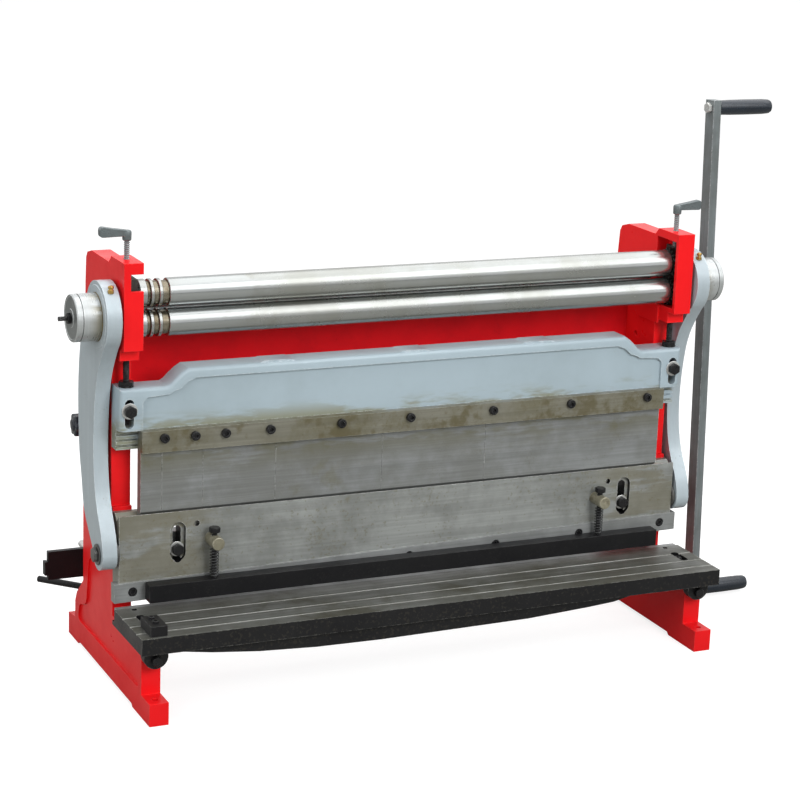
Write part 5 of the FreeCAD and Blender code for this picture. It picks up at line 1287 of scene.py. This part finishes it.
@dataclass
class Handwheels:
    """The pressure screws with their small levers, and the lobed knobs on the sides."""

    screw_place: float = 529.0
    screw_radius: float = 5.0
    screw_pitch: float = 3.4
    boss_height: float = 18.0
    lever_rise: float = 8.0
    lever_half: float = 6.0
    lobes: int = 6
    knob_steps: int = 72
    knob_radius: float = 20.5
    knob_depth: float = 24.0
    stud: float = 5.0

    def pressure(self, side: str) -> None:
        """A threaded screw with a bossed, tapering lever on top."""
        node, sign = f"pressure_screw_{side}", SIDES[side]
        low, high = span(node)
        axis_x = sign * self.screw_place
        centre = Vector((axis_x, (low.y + high.y) / 2, 0.0))
        top = high.z - self.lever_rise
        foot = top - self.boss_height
        screw = Shape.turned(threaded(low.z, foot + 2.0, self.screw_radius, self.screw_pitch),
                             Axis.Z, centre, 24)
        screw.piece(f"{node}_thread", THREAD, node)
        boss = Shape.turned([(foot, 6.4), (foot + 1.5, 7.6), (foot + 8.0, 7.8),
                             (foot + 14.0, 8.0), (top - 0.8, 6.8), (top, 4.0)], Axis.Z, centre,
                            40)
        reach = sign * (flanks(node, side)[1] - axis_x)
        profile = rounded([(0.0, foot + 8.0, 0.0), (0.5 * reach, foot + 7.6, 20.0),
                           (reach, foot + 7.0, 6.5), (reach, high.z, 6.5),
                           (0.5 * reach, top + 3.6, 20.0), (0.0, top, 0.0)])
        outline = [(axis_x + sign * along, height) for along, height in profile]
        if sign < 0:
            outline.reverse()
        boss.add(Shape.plate(outline, Axis.Y, centre.y - self.lever_half,
                             centre.y + self.lever_half))
        boss.piece(f"{node}_lever", LEVER_GREY, node, 2.6, 4)

    def knob(self, side: str) -> None:
        """A lobed black knob on its stud."""
        node, sign = f"side_knob_{side}", SIDES[side]
        root, tip = flanks(node, side)
        centre = middle(node)
        near = tip - sign * self.knob_depth
        outline = []
        for step in range(self.knob_steps):
            turn = 2 * math.pi * step / self.knob_steps
            radius = self.knob_radius * (0.90 + 0.095 * math.cos(self.lobes * turn))
            outline.append((centre.y + radius * math.cos(turn), centre.z + radius * math.sin(turn)))
        star = Shape.plate(outline, Axis.X, near + sign * 6.0, tip - sign * 3.0)
        skirt = [(root, self.stud), (near, self.stud), (near, 11.0), (near + sign * 6.2, 13.0)]
        cap = [(tip - sign * 3.2, 11.5), (tip - sign, 10.0), (tip, 7.0)]
        star.chamfered(2.4, 3, 60.0)
        for profile in (skirt, cap):
            star.add(Shape.turned(profile, Axis.X, centre, 32))
        star.piece(f"{node}_star", GRIP, node, 0.5, 2)

    def build(self) -> None:
        """Build both sides."""
        for side in SIDES:
            self.pressure(side)
            self.knob(side)


# ---- crank

@dataclass
class Crank:
    """The two-ended crank: a flat bar, pins and turning grips."""

    grip_radius: float = 14.5

    def grip(self, end: str) -> None:
        """A black grip: slightly barrelled, with rounded ends."""
        node = f"crank_grip_{end}"
        low, high = span(node)
        radius = self.grip_radius
        profile = [(low.x, radius - 3.0), (low.x + 1.0, radius - 1.6),
                   (low.x + 5.0, radius - 0.9), (low.x + 24.0, radius - 0.2),
                   ((low.x + high.x) / 2, radius), (high.x - 18.0, radius - 0.3),
                   (high.x - 5.0, radius - 1.2), (high.x - 1.4, radius - 2.8),
                   (high.x, radius - 5.0)]
        Shape.turned(profile, Axis.X, middle(node)).piece(f"{node}_handle", GRIP, node)

    def build(self) -> None:
        """Build the bar, its pins and its grips."""
        dress("crank_bar", "crank_flat_bar", CRANK_STEEL, 1.6)
        dress("grip_pins", "crank_grip_pins", ZINC, 0.8)
        for end in ("top", "bottom"):
            self.grip(end)


# ---- table and gauge

@dataclass
class Table:
    """The table with its black painted sides, ground top, blade, stop and screws."""

    edge: float = 1.3
    score: float = 3.0
    skin: float = 0.2
    bolt_seat: Corner = (526.0, -136.0, 144.0)
    stop_screws: tuple[float, ...] = (0.375, 0.75)
    adjuster_place: float = 527.0
    adjuster_head: float = 9.0

    def plate(self) -> None:
        """The table: painted casting, with its top and grooves machined bare."""
        top = span("table")[1].z
        table = dress("table", "shear_table", TABLE_PAINT, self.edge)
        repaint(table, TABLE_TOP, lambda face: face.normal.z > -0.5
                and top - face.center.z / MM <= self.skin)
        repaint(table, SCORE, lambda face: face.normal.z > -0.5
                and self.skin < top - face.center.z / MM < self.score)

    def screws(self) -> None:
        """The screws in the table's slots and in the stop block."""
        low, high = span("side_stop")
        x, y, z = self.bolt_seat
        spots = [((sign * x, y, z), 8.0, 5.0, 43.0, 7.5) for sign in SIDES.values()]
        spots += [(((low.x + high.x) / 2, low.y + share * (high.y - low.y), high.z), 3.5, 3.5,
                   27.0, 6.0) for share in self.stop_screws]
        screws = [Fastener(Facing.UP, seat, height, shank, length, radius=radius,
                           socket=radius).build() for seat, height, shank, length, radius in spots]
        Shape.gathered(screws).piece("table_socket_screws", BLACK_STEEL, "table_screws", 0.2, 1)

    def adjusters(self) -> None:
        """The six-sided screws in the round lugs under the table's front."""
        low, high = span("table_adjusters")
        head = self.adjuster_head
        pair = [Fastener(Facing.FRONT, (sign * self.adjuster_place, low.y + head,
                                        (low.z + high.z) / 2), head, 5.0,
                         high.y - low.y - head, flats=16.0, thread=True).build()
                for sign in SIDES.values()]
        Shape.gathered(pair).piece("table_adjusting_screws", BLACK_STEEL, "table_adjusters",
                                   0.25, 1)

    def build(self) -> None:
        """Build the table."""
        self.plate()
        dress("lower_blade", "lower_blade_ground", BLADE, 0.5)
        dress("side_stop", "squaring_block", BLACK_PAINT, 1.4)
        self.screws()
        self.adjusters()


@dataclass
class BackGauge:
    """The stop bar behind the machine, on its rods."""

    edges: tuple[float, ...] = (0.8, 1.2, 1.2, 2.0)

    def build(self) -> None:
        """Dress the gauge's pieces."""
        finishes = {"gauge_rods": ZINC, "gauge_bar": BLACK_PAINT, "gauge_blocks": BLACK_PAINT,
                    "gauge_lever": BLACK_STEEL}
        for (node, finish), edge in zip(finishes.items(), self.edges):
            dress(node, f"{node}_dressed", finish, edge, 3)


# ---- camera, floor and lamps

@dataclass(frozen=True)
class Lamp:
    """A square soft lamp; a sheen lamp only shows in polished metal, and others never do."""

    name: str
    place: Corner
    aim: Corner
    size: float
    power: float
    sheen: bool = False

    def hang(self) -> None:
        """Hang the lamp in the scene."""
        data = bpy.data.lights.new(self.name, "AREA")
        data.size, data.energy = self.size, self.power
        lamp = bpy.data.objects.new(self.name, data)
        lamp.location = self.place
        ahead = Vector(self.aim) - Vector(self.place)
        lamp.rotation_euler = ahead.to_track_quat("-Z", "Y").to_euler()
        lamp.visible_glossy, lamp.visible_diffuse = self.sheen, not self.sheen
        bpy.context.scene.collection.objects.link(lamp)


@dataclass
class Studio:
    """A pale floor, soft lamps and the camera."""

    azimuth: float = 25.07
    elevation: float = 14.90
    roll: float = 2.21
    place: Corner = (-1.68293, -3.63316, 1.53193)
    lens: float = 103.375
    sensor: float = 36.0
    shift: Point = (-0.0097, -0.00198)
    even_light: float = 0.54
    # Share of the pale floor that reflections see; the rest is the dark grey painted reflection.
    mirrored_floor: float = 0.06
    floor_half: float = 12000.0
    floor_drop: float = 0.5
    floor_glow: float = 1.35
    floor_share: float = 0.58
    lamps: tuple[Lamp, ...] = (
        Lamp("key", (0.7, -3.6, 2.4), (0.0, 0.0, 0.4), 1.6, 108.0),
        Lamp("fill", (-3.2, -1.4, 1.8), (0.0, 0.0, 0.4), 2.0, 36.0),
        Lamp("top", (0.0, 0.3, 3.2), (0.0, 0.0, 0.4), 2.4, 80.0),
        Lamp("sheen", (1.9, -3.2, 3.5), (0.0, 0.0, 0.8), 3.0, 56.0, sheen=True),
        Lamp("overhead_sheen", (1.4, 0.4, 4.2), (0.0, 0.0, 0.8), 4.5, 76.0, sheen=True))

    def camera(self) -> None:
        """Set up the camera."""
        turn, fall = math.radians(self.azimuth), math.radians(self.elevation)
        lean = math.radians(self.roll)
        ahead = Vector((math.sin(turn) * math.cos(fall), math.cos(turn) * math.cos(fall),
                        -math.sin(fall)))
        level = Vector((math.cos(turn), -math.sin(turn), 0.0))
        above = level.cross(ahead)
        right = level * math.cos(lean) + above * math.sin(lean)
        up = above * math.cos(lean) - level * math.sin(lean)
        data = bpy.data.cameras.new("camera")
        data.lens, data.sensor_width = self.lens, self.sensor
        data.shift_x, data.shift_y = self.shift
        camera = bpy.data.objects.new("camera", data)
        bpy.context.scene.collection.objects.link(camera)
        camera.matrix_world = Matrix(((*right, 0.0), (*up, 0.0), (*-ahead, 0.0),
                                      (*self.place, 1.0))).transposed()
        bpy.context.scene.camera = camera

    def backdrop_light(self) -> None:
        """Light the scene evenly, and show white behind it and in what it mirrors."""
        world = bpy.data.worlds.new("studio")
        world.use_nodes = True
        wires = Wiring(world.node_tree)
        world.node_tree.nodes.clear()
        path = wires.node("LightPath").outputs
        seen = wires.math("MAXIMUM", path["Is Camera Ray"], path["Is Glossy Ray"])
        seen = wires.math("MAXIMUM", seen, path["Is Transmission Ray"])
        level = wires.math("MULTIPLY_ADD", seen, 1.0 - self.even_light, self.even_light)
        light = wires.node("Background", Color=WHITE, Strength=level)
        wires.feed(wires.node("OutputWorld").inputs[0], light.outputs[0])
        bpy.context.scene.world = world

    def floor_material(self) -> bpy.types.Material:
        """A matt surface that shows white to the camera and keeps the object's shadow, but is dark
        grey in reflections and bounced light: a painted dark reflection in the metal, and painted
        shade on the machine's undersides.
        """
        material = bpy.data.materials.new("pale_floor")
        material.use_nodes = True
        nodes = material.node_tree.nodes
        wires = Wiring(material.node_tree)
        shader = nodes["Principled BSDF"]
        place = wires.node("TexCoord").outputs["Object"]
        path = wires.node("LightPath").outputs
        mirrored = wires.math("MAXIMUM", path["Is Glossy Ray"], path["Is Transmission Ray"])
        seen = wires.math("MAXIMUM", path["Is Camera Ray"],
                          wires.math("MULTIPLY", mirrored, self.mirrored_floor))
        # Painted dark reflection and shade: reflections and bounced light see this dark grey, not
        # the pale floor.
        tone = wires.blend(wires.noise(place, 3.0), (0.24, 0.24, 0.22), (0.28, 0.28, 0.26))
        for label, value in (("Base Color", wires.blend(seen, tone, (0.95, 0.95, 0.95))),
                             ("Roughness", 0.9), ("Specular IOR Level", 0.1)):
            wires.feed(shader.inputs[label], value)
        glow = wires.node("Emission", Color=WHITE, Strength=self.floor_glow)
        both = wires.node("MixShader", Fac=wires.math("MULTIPLY", seen, self.floor_share))
        wires.feed(both.inputs[1], shader.outputs[0])
        wires.feed(both.inputs[2], glow.outputs[0])
        wires.feed(nodes["Material Output"].inputs[0], both.outputs[0])
        return material

    def floor(self) -> None:
        """Lay the floor, just under the feet."""
        shape = Shape()
        bmesh.ops.create_grid(shape.mesh, x_segments=1, y_segments=1, size=self.floor_half)
        bmesh.ops.translate(shape.mesh, verts=shape.mesh.verts, vec=(0.0, 0.0, -self.floor_drop))
        floor = shape.in_metres().loose_object("floor")
        floor.data.materials.append(self.floor_material())

    def build(self) -> None:
        """Set up the whole studio."""
        bpy.context.scene.view_settings.view_transform = "Standard"
        self.camera()
        self.backdrop_light()
        for lamp in self.lamps:
            lamp.hang()
        self.floor()


def main() -> None:
    """Build every sub-assembly in order, then the studio."""
    logging.basicConfig(level=logging.INFO)
    for assembly in (SideFrames(), Rolls(), Hubs(), Arms(), Ram(), Beam(), Handwheels(), Crank(),
                     Table(), BackGauge()):
        log.info("building %s", type(assembly).__name__)
        assembly.build()
    Studio().build()


if __name__ == "__main__":
    main()
